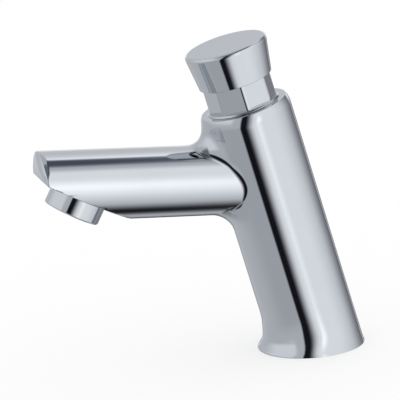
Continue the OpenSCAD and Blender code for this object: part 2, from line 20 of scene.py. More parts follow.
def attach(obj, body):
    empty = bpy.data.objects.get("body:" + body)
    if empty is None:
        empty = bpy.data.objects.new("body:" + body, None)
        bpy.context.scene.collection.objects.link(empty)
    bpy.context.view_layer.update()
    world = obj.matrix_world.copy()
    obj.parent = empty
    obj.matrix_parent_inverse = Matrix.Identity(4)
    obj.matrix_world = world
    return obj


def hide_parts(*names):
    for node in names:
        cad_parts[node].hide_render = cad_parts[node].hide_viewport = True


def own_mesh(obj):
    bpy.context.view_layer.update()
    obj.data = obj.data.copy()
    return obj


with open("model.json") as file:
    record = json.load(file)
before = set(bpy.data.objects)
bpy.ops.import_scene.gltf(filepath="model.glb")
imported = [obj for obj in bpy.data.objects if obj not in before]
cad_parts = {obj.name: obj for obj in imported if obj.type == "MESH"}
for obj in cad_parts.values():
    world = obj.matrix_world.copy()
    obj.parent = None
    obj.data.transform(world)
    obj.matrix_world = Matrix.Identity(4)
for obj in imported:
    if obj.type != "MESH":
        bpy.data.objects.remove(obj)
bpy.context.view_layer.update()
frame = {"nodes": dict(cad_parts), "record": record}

log = logging.getLogger("tap")

MM = 0.001
MERGE = 0.002 * MM
Colour = tuple[float, float, float]
Corner = tuple[float, float, float]


@dataclass(frozen=True)
class Axis:
    """A line in the tap's plane of symmetry.

    Attributes:
        name: What the line belongs to.
        foot: The point from which places along the line are measured.
        tilt: Turn of the line about X from the vertical, in degrees.
    """

    name: str
    foot: tuple[float, float, float]
    tilt: float

    @property
    def along(self) -> Vector:
        """The line's own direction."""
        turn = math.radians(self.tilt)
        return Vector((0.0, -math.sin(turn), math.cos(turn)))

    @property
    def across(self) -> Vector:
        """The direction square to the line in the plane of symmetry."""
        turn = math.radians(self.tilt)
        return Vector((0.0, math.cos(turn), math.sin(turn)))

    def point(self, radius: float, place: float) -> Vector:
        """Find the point at a place along the line and a radius on its +X side."""
        return Vector(self.foot) + self.along * place + Vector((radius, 0.0, 0.0))

    def measure(self, points: np.ndarray) -> tuple[np.ndarray, np.ndarray, np.ndarray]:
        """Measure many points from the line.

        Args:
            points: Rows of x, y and z.

        Returns:
            The places along the line, the offsets across it in the plane of symmetry,
            and the distances from it.
        """
        offset = points - np.array(self.foot)
        across = offset @ np.array(self.across)
        return offset @ np.array(self.along), across, np.hypot(offset[:, 0], across)


@dataclass(frozen=True)
class Plan:
    """The sizes and lines that several of the tap's pieces share.

    Attributes:
        base_radius: Radius of the round base of the CAD's foot.
        column_radius: Radius of the column.
        column_length: Length of the column along its line, from the deck to the rim.
        lean: Lean of the column towards the user, in degrees.
        back_step: How far the column's back stands inside the base on the deck.
        spout_radius: Radius of the spout.
        spout_place: Place along the column from which the spout leaves.
        spout_rise: Rise of the spout, in degrees.
        spout_reach: Distance of the spout's end from the middle of the base.
        tip_lean: Lean of the spout's end face from the upright, in degrees.
        outlet_setback: Distance of the outlet behind the spout's end.
        outlet_drop: Distance of the aerator's seat under the spout's line.
        jet_angle: Angle of the jet from straight down, in degrees.
        inlet_y: Place of the supply's hole along Y.
        stud_y: Place of the stud's hole along Y.
        stroke: Travel of the button.
    """

    base_radius: float = 25.0 * MM
    column_radius: float = 21.0 * MM
    column_length: float = 119.0 * MM
    lean: float = 13.0
    back_step: float = 0.25 * MM
    spout_radius: float = 16.0 * MM
    spout_place: float = 83.0 * MM
    spout_rise: float = 5.5
    spout_reach: float = 119.5 * MM
    tip_lean: float = 3.0
    outlet_setback: float = 16.5 * MM
    outlet_drop: float = 5.0 * MM
    jet_angle: float = 30.0
    inlet_y: float = -6.79 * MM
    stud_y: float = 9.5 * MM
    stroke: float = 8.0 * MM

    @property
    def column(self) -> Axis:
        """The leaning line of the column, from the deck up."""
        half_depth = self.column_radius / math.cos(math.radians(self.lean))
        foot = self.base_radius - half_depth - self.back_step
        return Axis("column", (0.0, foot, 0.0), self.lean)

    @property
    def spout(self) -> Axis:
        """The line of the spout, from the column's line forward."""
        root = self.column.point(0.0, self.spout_place)
        return Axis("spout", tuple(root), 90.0 - self.spout_rise)

    @property
    def outlet(self) -> Axis:
        """The line of the jet, from the aerator's seat down."""
        spout = self.spout
        reach = self.spout_reach - self.outlet_setback
        down = -self.outlet_drop * spout.across
        place = (spout.foot[1] + reach + down.y) / -spout.along.y
        return Axis("outlet", tuple(spout.point(0.0, place) + down), 180.0 - self.jet_angle)

    @property
    def inlet(self) -> Axis:
        """The upright line of the supply's hole in the foot."""
        return Axis("inlet", (0.0, self.inlet_y, 0.0), 0.0)

    @property
    def stud(self) -> Axis:
        """The upright line of the stud's hole in the foot."""
        return Axis("stud", (0.0, self.stud_y, 0.0), 0.0)

    @property
    def base(self) -> Axis:
        """The upright line through the middle of the base."""
        return Axis("base", (0.0, 0.0, 0.0), 0.0)

    @property
    def tip(self) -> Vector:
        """The middle of the spout's end face."""
        spout = self.spout
        return spout.point(0.0, (spout.foot[1] + self.spout_reach) / -spout.along.y)

    @property
    def tip_normal(self) -> Vector:
        """The outward direction of the spout's end face."""
        turn = math.radians(self.tip_lean)
        return Vector((0.0, -math.cos(turn), -math.sin(turn)))


PLAN = Plan()


class Term:
    """A value in a shader, on which Python's operators add Math nodes."""

    def __init__(self, sheet: "Sheet", socket: bpy.types.NodeSocket) -> None:
        """Wrap a node's output."""
        self.sheet = sheet
        self.socket = socket

    def math(self, operation: str, one: "Term | float", other: "Term | float" = 0.0) -> "Term":
        """Add a Math node of an operation on two values and take its value."""
        return self.sheet.term("ShaderNodeMath", {"operation": operation}, {0: one, 1: other})

    def __add__(self, other: "Term | float") -> "Term":
        """Add to this value."""
        return self.math("ADD", self, other)

    __radd__ = __add__

    def __sub__(self, other: "Term | float") -> "Term":
        """Take away from this value."""
        return self.math("SUBTRACT", self, other)

    def __rsub__(self, other: "Term | float") -> "Term":
        """Take this value away."""
        return self.math("SUBTRACT", other, self)

    def __mul__(self, other: "Term | float") -> "Term":
        """Multiply this value."""
        return self.math("MULTIPLY", self, other)

    __rmul__ = __mul__

    def sine(self) -> "Term":
        """Take the sine of this value."""
        return self.math("SINE", self)


Input = Term | float | tuple[float, ...]


class Sheet:
    """A shader under construction."""

    def __init__(self, tree: bpy.types.NodeTree) -> None:
        """Start on an empty node tree."""
        self.tree = tree
        tree.nodes.clear()

    def node(
        self,
        kind: str,
        settings: dict[str, object] | None = None,
        inputs: dict[str | int, Input] | None = None,
    ) -> bpy.types.Node:
        """Add a node.

        Args:
            kind: The node's type.
            settings: Its settings by name. They are set before its sockets.
            inputs: Values or links of its sockets, by name or number.

        Returns:
            The node.
        """
        node = self.tree.nodes.new(kind)
        for name, setting in (settings or {}).items():
            setattr(node, name, setting)
        for name, value in (inputs or {}).items():
            if isinstance(value, Term):
                self.tree.links.new(value.socket, node.inputs[name])
            else:
                node.inputs[name].default_value = value
        return node

    def term(
        self,
        kind: str,
        settings: dict[str, object] | None = None,
        inputs: dict[str | int, Input] | None = None,
        output: str | int = 0,
    ) -> Term:
        """Add a node, as Sheet.node does, and take an output by its name or number."""
        return Term(self, self.node(kind, settings, inputs).outputs[output])

    def mix(self, share: Input, one: Term | Colour, other: Term | Colour) -> Term:
        """Mix two colours.

        Args:
            share: Share of the second colour.
            one: First colour.
            other: Second colour.

        Returns:
            The mixed colour.
        """
        colours = [c if isinstance(c, Term) else (*c, 1.0) for c in (one, other)]
        # The node's sockets 6 and 7 and its output 2 are the ones for colours.
        inputs = {0: share, 6: colours[0], 7: colours[1]}
        return self.term("ShaderNodeMix", {"data_type": "RGBA"}, inputs, 2)

    def place(self, axis: Axis) -> Term:
        """Give the place on a piece, measured from a line that becomes the upright one.

        Args:
            axis: The line.

        Returns:
            The place as a vector.
        """
        turn = math.radians(-axis.tilt)
        shift = -(Matrix.Rotation(turn, 3, "X") @ Vector(axis.foot))
        return self.term(
            "ShaderNodeMapping",
            {"vector_type": "POINT"},
            {
                "Vector": self.term("ShaderNodeTexCoord", output="Object"),
                "Location": tuple(shift),
                "Rotation": (turn, 0.0, 0.0),
            },
        )

    def noise(self, place: Term, size: float, detail: float = 2.0) -> Term:
        """Add noise from 0 to 1 with patches of a size and a number of finer layers."""
        inputs = {"Vector": place, "Scale": 1.0 / size, "Detail": detail}
        return self.term("ShaderNodeTexNoise", None, inputs)

    def rings(self, place: Term, pitch: float, stray: Term) -> Term:
        """Add marks of turning, round the upright line, from -1 to 1.

        Args:
            place: Where they are read.
            pitch: Distance from mark to mark, along the line or out from it.
            stray: Noise that shifts the marks by up to one pitch.

        Returns:
            The marks.
        """
        level = {0: place, 1: (1.0, 1.0, 0.0)}
        flat = self.term("ShaderNodeVectorMath", {"operation": "MULTIPLY"}, level)
        radius = self.term("ShaderNodeVectorMath", {"operation": "LENGTH"}, {0: flat}, "Value")
        height = self.term("ShaderNodeSeparateXYZ", None, {0: place}, "Z")
        return ((radius + height) * (math.tau / pitch) + stray * math.tau).sine()

    def bump(self, height: Term, depth: float) -> Term:
        """Raise a surface by a height from 0 to 1 times a depth."""
        inputs = {"Height": height, "Distance": depth, "Strength": 1.0}
        return self.term("ShaderNodeBump", None, inputs)

    def surface(self, inputs: dict[str | int, Input]) -> None:
        """End the sheet with a Principled BSDF with these values or links."""
        shader = self.term("ShaderNodeBsdfPrincipled", None, inputs)
        self.node("ShaderNodeOutputMaterial", None, {"Surface": shader})


@dataclass(frozen=True)
class Finish:
    """What the finishes share.

    Attributes:
        name: The finish's name.
        colour: Its colour.
        shade: The colour of its darker patches.
        roughness: Its roughness where it is smoothest.
    """

    name: str
    colour: Colour
    shade: Colour
    roughness: float

    def material(self, axis: Axis) -> bpy.types.Material:
        """Make the finish for pieces on a line, once.

        Args:
            axis: The line that the pieces lie on.

        Returns:
            The material.
        """
        name = f"{self.name}_{axis.name}"
        if name not in bpy.data.materials:
            made = bpy.data.materials.new(name)
            made.use_nodes = True
            made.diffuse_color = (*self.colour, 1.0)
            sheet = Sheet(made.node_tree)
            sheet.surface(self.paint(sheet, sheet.place(axis)))
        return bpy.data.materials[name]

    def paint(self, sheet: Sheet, place: Term) -> dict[str | int, Input]:
        """Draw the finish and give back values or links for the Principled BSDF."""
        raise NotImplementedError


@dataclass(frozen=True)
class PolishedChrome(Finish):
    """Bright plating with a trace of haze where it was wiped, and the casting's slight swell.

    Attributes:
        haze: Roughness that the wiped patches add.
        swell: Height of the slow swell in the polished metal.
        cloud_size: Size of the clouds in which the colour and the haze lie.
        wipe_size: Size of the wiped patches.
        swell_size: Size of the swell.
    """

    name: str = "polished_chrome"
    colour: Colour = (0.565, 0.592, 0.622)
    shade: Colour = (0.535, 0.562, 0.592)
    roughness: float = 0.035
    haze: float = 0.05
    swell: float = 0.01 * MM
    cloud_size: float = 22.0 * MM
    wipe_size: float = 3.0 * MM
    swell_size: float = 30.0 * MM

    def paint(self, sheet: Sheet, place: Term) -> dict[str | int, Input]:
        """Draw the chrome.

        Args:
            sheet: The sheet to draw on.
            place: The place on the piece.

        Returns:
            Values or links for the Principled BSDF.
        """
        cloud = sheet.noise(place, self.cloud_size, detail=3.0)
        wiped = sheet.noise(place, self.wipe_size, detail=4.0)
        swell = sheet.noise(place, self.swell_size, detail=0.0)
        return {
            "Base Color": sheet.mix(cloud, self.shade, self.colour),
            "Metallic": 1.0,
            "Roughness": self.roughness + cloud * wiped * self.haze,
            "Normal": sheet.bump(swell, self.swell),
        }


@dataclass(frozen=True)
class TurnedMetal(Finish):
    """Bare metal with the fine rings of turning and a little tarnish.

    Attributes:
        pitch: Distance from ring to ring.
        depth: Depth of the rings.
        spread: Roughness that the rings and the tarnish add.
        tarnish_size: Size of the patches of tarnish.
        in_colour: Share of the tarnish in the colour. The rings have the rest.
        in_spread: Share of the tarnish in the added roughness.
    """

    pitch: float = 0.3 * MM
    depth: float = 0.004 * MM
    spread: float = 0.16
    tarnish_size: float = 7.0 * MM
    in_colour: float = 0.7
    in_spread: float = 0.6

    def paint(self, sheet: Sheet, place: Term) -> dict[str | int, Input]:
        """Draw the metal.

        Args:
            sheet: The sheet to draw on.
            place: The place on the piece.

        Returns:
            Values or links for the Principled BSDF.
        """
        tarnish = sheet.noise(place, self.tarnish_size, detail=4.0)
        marks = sheet.rings(place, self.pitch, tarnish) * 0.5 + 0.5
        bright = tarnish * self.in_colour + marks * (1.0 - self.in_colour)
        rough = tarnish * self.in_spread + marks * (1.0 - self.in_spread)
        return {
            "Base Color": sheet.mix(bright, self.shade, self.colour),
            "Metallic": 1.0,
            "Roughness": self.roughness + self.spread * rough,
            "Normal": sheet.bump(marks, self.depth),
        }


@dataclass(frozen=True)
class SealRubber(Finish):
    """Moulded sealing rubber with a dry bloom.

    Attributes:
        grain: Size of the rubber's grain.
        depth: Depth of the grain.
        bloom_size: Size of the patches of bloom.
        dryness: Roughness that the bloom adds.
    """

    name: str = "seal_rubber"
    colour: Colour = (0.030, 0.030, 0.032)
    shade: Colour = (0.012, 0.012, 0.013)
    roughness: float = 0.48
    grain: float = 0.25 * MM
    depth: float = 0.01 * MM
    bloom_size: float = 5.0 * MM
    dryness: float = 0.3

    def paint(self, sheet: Sheet, place: Term) -> dict[str | int, Input]:
        """Draw the rubber.

        Args:
            sheet: The sheet to draw on.
            place: The place on the piece.

        Returns:
            Values or links for the Principled BSDF.
        """
        bloom = sheet.noise(place, self.bloom_size, detail=4.0)
        grain = sheet.noise(place, self.grain)
        return {
            "Base Color": sheet.mix(bloom, self.shade, self.colour),
            "Roughness": self.roughness + bloom * self.dryness,
            "Normal": sheet.bump(grain, self.depth),
        }


@dataclass(frozen=True)
class MouldedPlastic(Finish):
    """White acetal, a little creamier where it is thick, with a satin moulded skin.

    Attributes:
        grain: Size of the skin's grain.
        depth: Depth of the grain.
        cloud_size: Size of the creamier patches.
        satin: Roughness that the grain adds.
    """

    name: str = "white_acetal"
    colour: Colour = (0.80, 0.80, 0.76)
    shade: Colour = (0.72, 0.71, 0.65)
    roughness: float = 0.34
    grain: float = 0.4 * MM
    depth: float = 0.006 * MM
    cloud_size: float = 9.0 * MM
    satin: float = 0.16

    def paint(self, sheet: Sheet, place: Term) -> dict[str | int, Input]:
        """Draw the plastic.

        Args:
            sheet: The sheet to draw on.
            place: The place on the piece.

        Returns:
            Values or links for the Principled BSDF.
        """
        cloud = sheet.noise(place, self.cloud_size, detail=3.0)
        grain = sheet.noise(place, self.grain)
        return {
            "Base Color": sheet.mix(cloud, self.shade, self.colour),
            "Roughness": self.roughness + grain * self.satin,
            "Normal": sheet.bump(grain, self.depth),
        }


class Slot(Enum):
    """The record's material slots and their finishes."""

    CHROME = ("chrome", PolishedChrome())
    BRASS = ("brass", TurnedMetal("turned_brass", (0.74, 0.53, 0.24), (0.60, 0.40, 0.16), 0.20))
    STEEL = ("steel", TurnedMetal("turned_steel", (0.60, 0.60, 0.61), (0.47, 0.47, 0.48), 0.20))
    RUBBER = ("rubber", SealRubber())
    PLASTIC = ("white_plastic", MouldedPlastic())

    def __init__(self, slot: str, finish: Finish) -> None:
        """Keep a slot's name with its finish."""
        self.slot = slot
        self.finish = finish

    def dress(self, obj: bpy.types.Object, axis: Axis) -> None:
        """Give an object on a line this slot's finish and nothing else."""
        obj.data.materials.clear()
        obj.data.materials.append(self.finish.material(axis))


class Rider(Enum):
    """The bodies of the frame that pieces ride on."""

    TAP = "tap_body"
    PLUNGER = "plunger"


class Join(Enum):
    """How one solid is joined with another."""

    ADD = "UNION"
    CUT = "DIFFERENCE"


class Bench:
    """Modelling moves with Blender's own operators."""

    @staticmethod
    def pick_up(obj: bpy.types.Object) -> None:
        """Make an object the only selected one, and the active one.

        Args:
            obj: The object to pick up.
        """
        bpy.ops.object.select_all(action="DESELECT")
        obj.select_set(True)
        bpy.context.view_layer.objects.active = obj

    @staticmethod
    def named(name: str) -> bpy.types.Object:
        """Name the primitive just added and put its place into its mesh.

        Args:
            name: Name of the object and of its mesh.

        Returns:
            The object.
        """
        obj = bpy.context.object
        obj.name = obj.data.name = name
        bpy.ops.object.transform_apply(location=True, rotation=True, scale=True)
        return obj

    @staticmethod
    @contextmanager
    def editing(obj: bpy.types.Object) -> Iterator[bpy.types.Object]:
        """Hold an object in edit mode with all of it selected.

        Args:
            obj: The object to edit.

        Yields:
            The same object.
        """
        Bench.pick_up(obj)
        bpy.ops.object.mode_set(mode="EDIT")
        bpy.ops.mesh.select_mode(type="VERT")
        bpy.ops.mesh.select_all(action="SELECT")
        yield obj
        bpy.ops.object.mode_set(mode="OBJECT")

    @staticmethod
    def choose_edges(obj: bpy.types.Object, test: Callable[[Vector, Vector], bool]) -> None:
        """Select the edges of an object in edit mode whose two ends pass a test.

        Args:
            obj: The object in edit mode.
            test: Tells from an edge's two ends whether it is wanted.
        """
        bpy.ops.mesh.select_mode(type="EDGE")
        bpy.ops.mesh.select_all(action="DESELECT")
        mesh = bmesh.from_edit_mesh(obj.data)
        for edge in mesh.edges:
            edge.select_set(test(edge.verts[0].co, edge.verts[1].co))
        bmesh.update_edit_mesh(obj.data)

    @staticmethod
    def rounded(corners: Sequence[Corner], steps: int = 5) -> list[tuple[float, float]]:
        """Round the corners of an outline with arcs.

        Args:
            corners: Radius, place along the axis and radius of rounding of each corner.
            steps: Number of edges in each arc.

        Returns:
            The radius and the place along the axis of each point.
        """
        points: list[tuple[float, float]] = []
        for i, (radius, place, curve) in enumerate(corners):
            here = Vector((radius, place))
            if curve <= 0.0:
                points.append((radius, place))
                continue
            to_last = (Vector(corners[i - 1][:2]) - here).normalized()
            to_next = (Vector(corners[(i + 1) % len(corners)][:2]) - here).normalized()
            half = to_last.angle(to_next) / 2
            centre = here + (to_last + to_next).normalized() * curve / math.sin(half)
            first = here + to_last * curve / math.tan(half) - centre
            last = here + to_next * curve / math.tan(half) - centre
            for step in range(steps + 1):
                angle = first.angle_signed(last) * step / steps
                spoke = first.copy()
                spoke.rotate(Matrix.Rotation(-angle, 2))
                points.append(tuple(centre + spoke))
        return points

    @staticmethod
    def turn(
        name: str, axis: Axis, outline: Sequence[tuple[float, float]], steps: int = 128
    ) -> bpy.types.Object:
        """Draw an outline edge by edge and spin it into a closed solid.

        Args:
            name: The solid's name.
            axis: The line to spin about.
            outline: Radius and place along the axis of each point. An outline that doesn't
                start and end on the axis is closed by its last edge.
            steps: Number of faces round the axis.

        Returns:
            The turned solid.
        """
        points = [axis.point(radius, place) for radius, place in outline]
        if max(outline[0][0], outline[-1][0]) > 0.0:
            points.append(points[0])
        bpy.ops.object.select_all(action="DESELECT")
        bpy.ops.mesh.primitive_plane_add(size=MM, location=points[0])
        obj = Bench.named(name)
        with Bench.editing(obj):
            bpy.ops.mesh.merge(type="CENTER")
            for here, there in zip(points, points[1:]):
                move = {"value": there - here}
                bpy.ops.mesh.extrude_vertices_move(TRANSFORM_OT_translate=move)
            bpy.ops.mesh.select_all(action="SELECT")
            bpy.ops.mesh.spin(steps=steps, angle=math.tau, center=axis.foot, axis=axis.along)
            bpy.ops.mesh.select_all(action="SELECT")
            bpy.ops.mesh.remove_doubles(threshold=MERGE)
            bpy.ops.mesh.normals_make_consistent(inside=False)
        return obj

    @staticmethod
    def rod(
        name: str, axis: Axis, radius: float, ends: tuple[float, float], steps: int
    ) -> bpy.types.Object:
        """Turn a plain cylinder.

        Args:
            name: The cylinder's name.
            axis: Its line.
            radius: Its radius.
            ends: The places of its two ends along the line.
            steps: Number of faces round the axis.

        Returns:
            The cylinder.
        """
        low, high = ends
        outline = [(0.0, low), (radius, low), (radius, high), (0.0, high)]
        return Bench.turn(name, axis, outline, steps)

    @staticmethod
    def combine(obj: bpy.types.Object, tool: bpy.types.Object, join: Join) -> None:
        """Join a tool's solid into an object, and throw the tool away.

        Args:
            obj: The object that stays.
            tool: The solid that is used up.
            join: Whether the tool is added or cut away.
        """
        Bench.pick_up(obj)
        bpy.ops.object.modifier_add(type="BOOLEAN")
        modifier = obj.modifiers[-1]
        modifier.operation = join.value
        modifier.solver = "EXACT"
        modifier.object = tool
        bpy.ops.object.modifier_apply(modifier=modifier.name)
        bpy.data.meshes.remove(tool.data)

    @staticmethod
    def polish(obj: bpy.types.Object, sharp: float = 40.0) -> None:
        """Shade an object smooth below an angle and let its large faces set the normals.

        Args:
            obj: The object to shade.
            sharp: Angle between two faces, in degrees, from which their edge stays sharp.
        """
        Bench.pick_up(obj)
        bpy.ops.object.shade_smooth_by_angle(angle=math.radians(sharp))
        bpy.ops.object.modifier_add(type="WEIGHTED_NORMAL")
        modifier = obj.modifiers[-1]
        modifier.weight = 100
        modifier.keep_sharp = True
        bpy.ops.object.modifier_apply(modifier=modifier.name)

    @staticmethod
    def points(obj: bpy.types.Object) -> np.ndarray:
        """Read an object's points.

        Args:
            obj: The object to read.

        Returns:
            Rows of x, y and z.
        """
        found = np.empty(3 * len(obj.data.vertices))
        obj.data.vertices.foreach_get("co", found)
        return found.reshape(-1, 3)

    @staticmethod
    def move_points(obj: bpy.types.Object, points: np.ndarray) -> None:
        """Write an object's points back from rows of x, y and z."""
        obj.data.vertices.foreach_set("co", points.ravel())
        obj.data.update()


class Blend:
    """Soft joins of two distances from surfaces."""

    @staticmethod
    def inner(one: np.ndarray, other: np.ndarray, edge: float) -> np.ndarray:
        """Meet two solids where both are, with their common edge rounded.

        Args:
            one: Distances outside the first surface.
            other: Distances outside the second surface.
            edge: Radius of the rounding.

        Returns:
            Distances outside what the two share.
        """
        return np.minimum(-edge, np.maximum(one, other)) + np.hypot(
            np.maximum(edge + one, 0.0), np.maximum(edge + other, 0.0)
        )

    @staticmethod
    def outer(one: np.ndarray, other: np.ndarray, fillet: np.ndarray) -> np.ndarray:
        """Join two solids with a fillet in the corner between them.

        Args:
            one: Distances outside the first surface.
            other: Distances outside the second surface.
            fillet: Distance from either surface at which the fillet ends.

        Returns:
            Distances outside the joined solid.
        """
        return np.maximum(fillet, np.minimum(one, other)) - np.hypot(
            np.maximum(fillet - one, 0.0), np.maximum(fillet - other, 0.0)
        )

    @staticmethod
    def lower(one: np.ndarray, other: np.ndarray, reach: float) -> np.ndarray:
        """Take the lower of two values, eased where they differ by less than a reach."""
        close = np.maximum(reach - np.abs(one - other), 0.0) / reach
        return np.minimum(one, other) - close * close * reach / 4.0

    @staticmethod
    def ease(values: np.ndarray, start: float, end: float) -> np.ndarray:
        """Ease from 0 at a start to 1 at an end, which may lie above it or below."""
        share = np.clip((values - start) / (end - start), 0.0, 1.0)
        return share * share * (3.0 - 2.0 * share)


@dataclass(frozen=True)
class Piece:
    """A sub-assembly's new mesh, which stands for one solid of the frame.

    Attributes:
        node: The solid that it stands for.
        rider: The body that it rides on.
        slot: Its material slot.
        axis: The line that it lies on.
    """

    node: str
    rider: Rider
    slot: Slot
    axis: Axis

    def build(self) -> bpy.types.Object:
        """Model the piece and give it back."""
        raise NotImplementedError

    def dress(self, obj: bpy.types.Object) -> None:
        """Give the piece its finish, its body and its solid's place, and report it.

        Args:
            obj: The finished piece.
        """
        self.slot.dress(obj, self.axis)
        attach(obj, self.rider.value)
        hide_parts(self.node)
        log.info("%s: %d faces for %s", obj.name, len(obj.data.polygons), self.node)


@dataclass(frozen=True)
class BodyForm:
    """The outside of the cast body, as a function that is zero on its skin.

    Attributes:
        foot_height: Height over which the foot runs into the column.
        foot_front: Distance of the foot's upright front from the middle of the base.
        foot_reach: Distance of the lip's upright edge from the middle of the base.
        foot_lip: Height of the lip that flares out to the base.
        foot_rim: Height of the lip's upright edge.
        foot_round: Share of the flare over which it turns into that edge.
        foot_ease: Length over which the foot's front eases into the column's.
        foot_turn: Height under which the middle of the foot leaves the column's line.
        foot_still: Height at which it has reached the base's.
        foot_sink: How far the upright front draws back on the foot's upper half.
        foot_spread: How much wider than the column the foot is without its lip.
        foot_power: How steeply that width is lost with the height.
        foot_back: Slope of the foot's back.
        foot_back_ease: Length over which the foot's back eases into the column's.
        foot_edge: Rounding of the edge on the deck.
        rim_inset: How far the column's wall draws in towards its rim.
        rim_height: Height over which it draws in.
        rim_edge: Rounding of the rim's edge.
        tip_chamfer: Length of the slight chamfer at the spout's end, on its upper half.
        tip_slope: Slope of that chamfer, in degrees.
        tip_grows: Heights on the spout's round, from 0 to 1, between which it grows.
        tip_fades: Heights at which it is gone at the top, and from which it fades.
        tip_crease: Rounding where the chamfer starts.
        tip_edge: Rounding of the edge round the spout's end.
        cut_edge: Rounding of the edge round the aerator's seat.
        root_top: Reach of the fillet on top of the spout's root.
        root_side: Reach of the fillet beside the spout's root.
        root_shoulder: Reach of the fillet on the upper side of the spout's root.
        root_under: Reach of the fillet under the spout's root.
        root_from: Height on the spout's round, from 0 to 1, from which the fillet grows.
        root_full: Height on the spout's round at which it is full.
        step: Step with which slopes are measured.
        near: Distance from the skin at which a point has settled.
        least_slope: Least square of the slope that a settling point reckons with.
    """

    foot_height: float = 24.0 * MM
    foot_front: float = 21.7 * MM
    foot_reach: float = 24.5 * MM
    foot_lip: float = 6.4 * MM
    foot_rim: float = 0.9 * MM
    foot_round: float = 0.12
    foot_ease: float = 0.8 * MM
    foot_turn: float = 10.0 * MM
    foot_still: float = 1.0 * MM
    foot_sink: float = 1.75 * MM
    foot_spread: float = 2.9 * MM
    foot_power: float = 2.2
    foot_back: float = 0.9
    foot_back_ease: float = 0.4 * MM
    foot_edge: float = 0.2 * MM
    rim_inset: float = 1.2 * MM
    rim_height: float = 5.0 * MM
    rim_edge: float = 0.12 * MM
    tip_chamfer: float = 2.2 * MM
    tip_slope: float = 17.0
    tip_grows: tuple[float, float] = (0.24, 0.64)
    tip_fades: tuple[float, float] = (0.995, 0.90)
    tip_crease: float = 0.1 * MM
    tip_edge: float = 0.6 * MM
    cut_edge: float = 0.25 * MM
    root_top: float = 9.9 * MM
    root_side: float = 1.4 * MM
    root_shoulder: float = 2.2 * MM
    root_under: float = 8.9 * MM
    root_from: float = 0.50
    root_full: float = 0.99
    step: float = 0.01 * MM
    near: float = 1e-4 * MM
    least_slope: float = 0.05

    @property
    def rim_curve(self) -> float:
        """Radius of the arc on which the wall draws in to the rim."""
        return (self.rim_height**2 + self.rim_inset**2) / (2.0 * self.rim_inset)

    def rim_radius(self, place: float) -> float:
        """Find the column's radius at a place where its wall draws in."""
        rise = place - PLAN.column_length + self.rim_height
        return PLAN.column_radius - self.rim_curve + math.sqrt(self.rim_curve**2 - rise**2)

    def section(self, points: np.ndarray) -> tuple[np.ndarray, np.ndarray]:
        """Compare points with the level section of the foot at their height.

        Args:
            points: Rows of x, y and z.

        Returns:
            The middle of the section along Y, and how many times further from that
            middle each point is than the section's outline.
        """
        axis, radius = PLAN.column, PLAN.column_radius
        height = points[:, 2]
        rest = np.clip(1.0 - height / self.foot_height, 0.0, 1.0)
        flare = (self.foot_lip - height) / (self.foot_lip - self.foot_rim)
        lip = np.maximum(Blend.lower(flare, 1.0, self.foot_round), 0.0) ** 2
        middle = axis.foot[1] - height * math.tan(math.radians(axis.tilt))
        depth = radius / math.cos(math.radians(axis.tilt))
        sink = np.clip(2.0 * height / self.foot_height - 1.0, 0.0, 1.0) ** 2
        ahead = (self.foot_reach - self.foot_front) * lip
        upright = -self.foot_front - ahead + self.foot_sink * sink
        front = Blend.lower(middle - depth, upright, self.foot_ease)
        behind = self.foot_back * height - PLAN.base_radius
        back = -Blend.lower(-middle - depth, behind, self.foot_back_ease)
        aside = (self.foot_reach - radius - self.foot_spread) * lip
        width = radius + self.foot_spread * rest**self.foot_power + aside
        centre = middle - axis.foot[1] * Blend.ease(height, self.foot_turn, self.foot_still)
        reach = np.where(points[:, 1] < centre, centre - front, back - centre)
        return centre, np.hypot(points[:, 0] / width, (points[:, 1] - centre) / reach)

    def column(self, points: np.ndarray) -> np.ndarray:
        """Measure how far points are outside the column and its foot.

        Args:
            points: Rows of x, y and z.

        Returns:
            The distances.
        """
        place, _, distance = PLAN.column.measure(points)
        rise = np.maximum(place - PLAN.column_length + self.rim_height, 0.0)
        out = np.maximum(distance - PLAN.column_radius + self.rim_curve, 0.0)
        wall = np.hypot(out, rise) - self.rim_curve
        low = points[:, 2] < self.foot_height
        wall[low] = (self.section(points[low])[1] - 1.0) * PLAN.column_radius
        rim = Blend.inner(wall, place - PLAN.column_length, self.rim_edge)
        return Blend.inner(rim, -points[:, 2], self.foot_edge)

    def spout(self, points: np.ndarray) -> tuple[np.ndarray, np.ndarray]:
        """Measure how far points are outside the spout.

        Args:
            points: Rows of x, y and z.

        Returns:
            The distances, and the height of each point on the spout's round, from -1 to 1.
        """
        place, across, distance = PLAN.spout.measure(points)
        tip = (points - np.array(PLAN.tip)) @ np.array(PLAN.tip_normal)
        slope = math.radians(self.tip_slope)
        height = across / np.maximum(distance, MM)
        share = Blend.ease(height, *self.tip_grows) * Blend.ease(height, *self.tip_fades)
        length = self.tip_edge + share * (self.tip_chamfer - self.tip_edge)
        out = distance - PLAN.spout_radius
        chamfer = math.cos(slope) * out + math.sin(slope) * (tip + length)
        wall = Blend.inner(np.maximum(out, -place), chamfer, self.tip_crease)
        cut = PLAN.outlet.measure(points)[0]
        end = Blend.inner(Blend.inner(wall, tip, self.tip_edge), cut, self.cut_edge)
        return end, height

    def outside(self, points: np.ndarray) -> np.ndarray:
        """Measure how far points are outside the body's skin.

        Args:
            points: Rows of x, y and z.

        Returns:
            The distances.
        """
        spout, height = self.spout(points)
        most = np.where(height > 0.0, self.root_top, self.root_under)
        shoulder = Blend.ease(height, 0.0, self.root_from)
        side = self.root_side + shoulder * (self.root_shoulder - self.root_side)
        grown = Blend.ease(np.abs(height), self.root_from, self.root_full)
        fillet = side + grown * (most - side)
        return Blend.outer(self.column(points), spout, fillet)

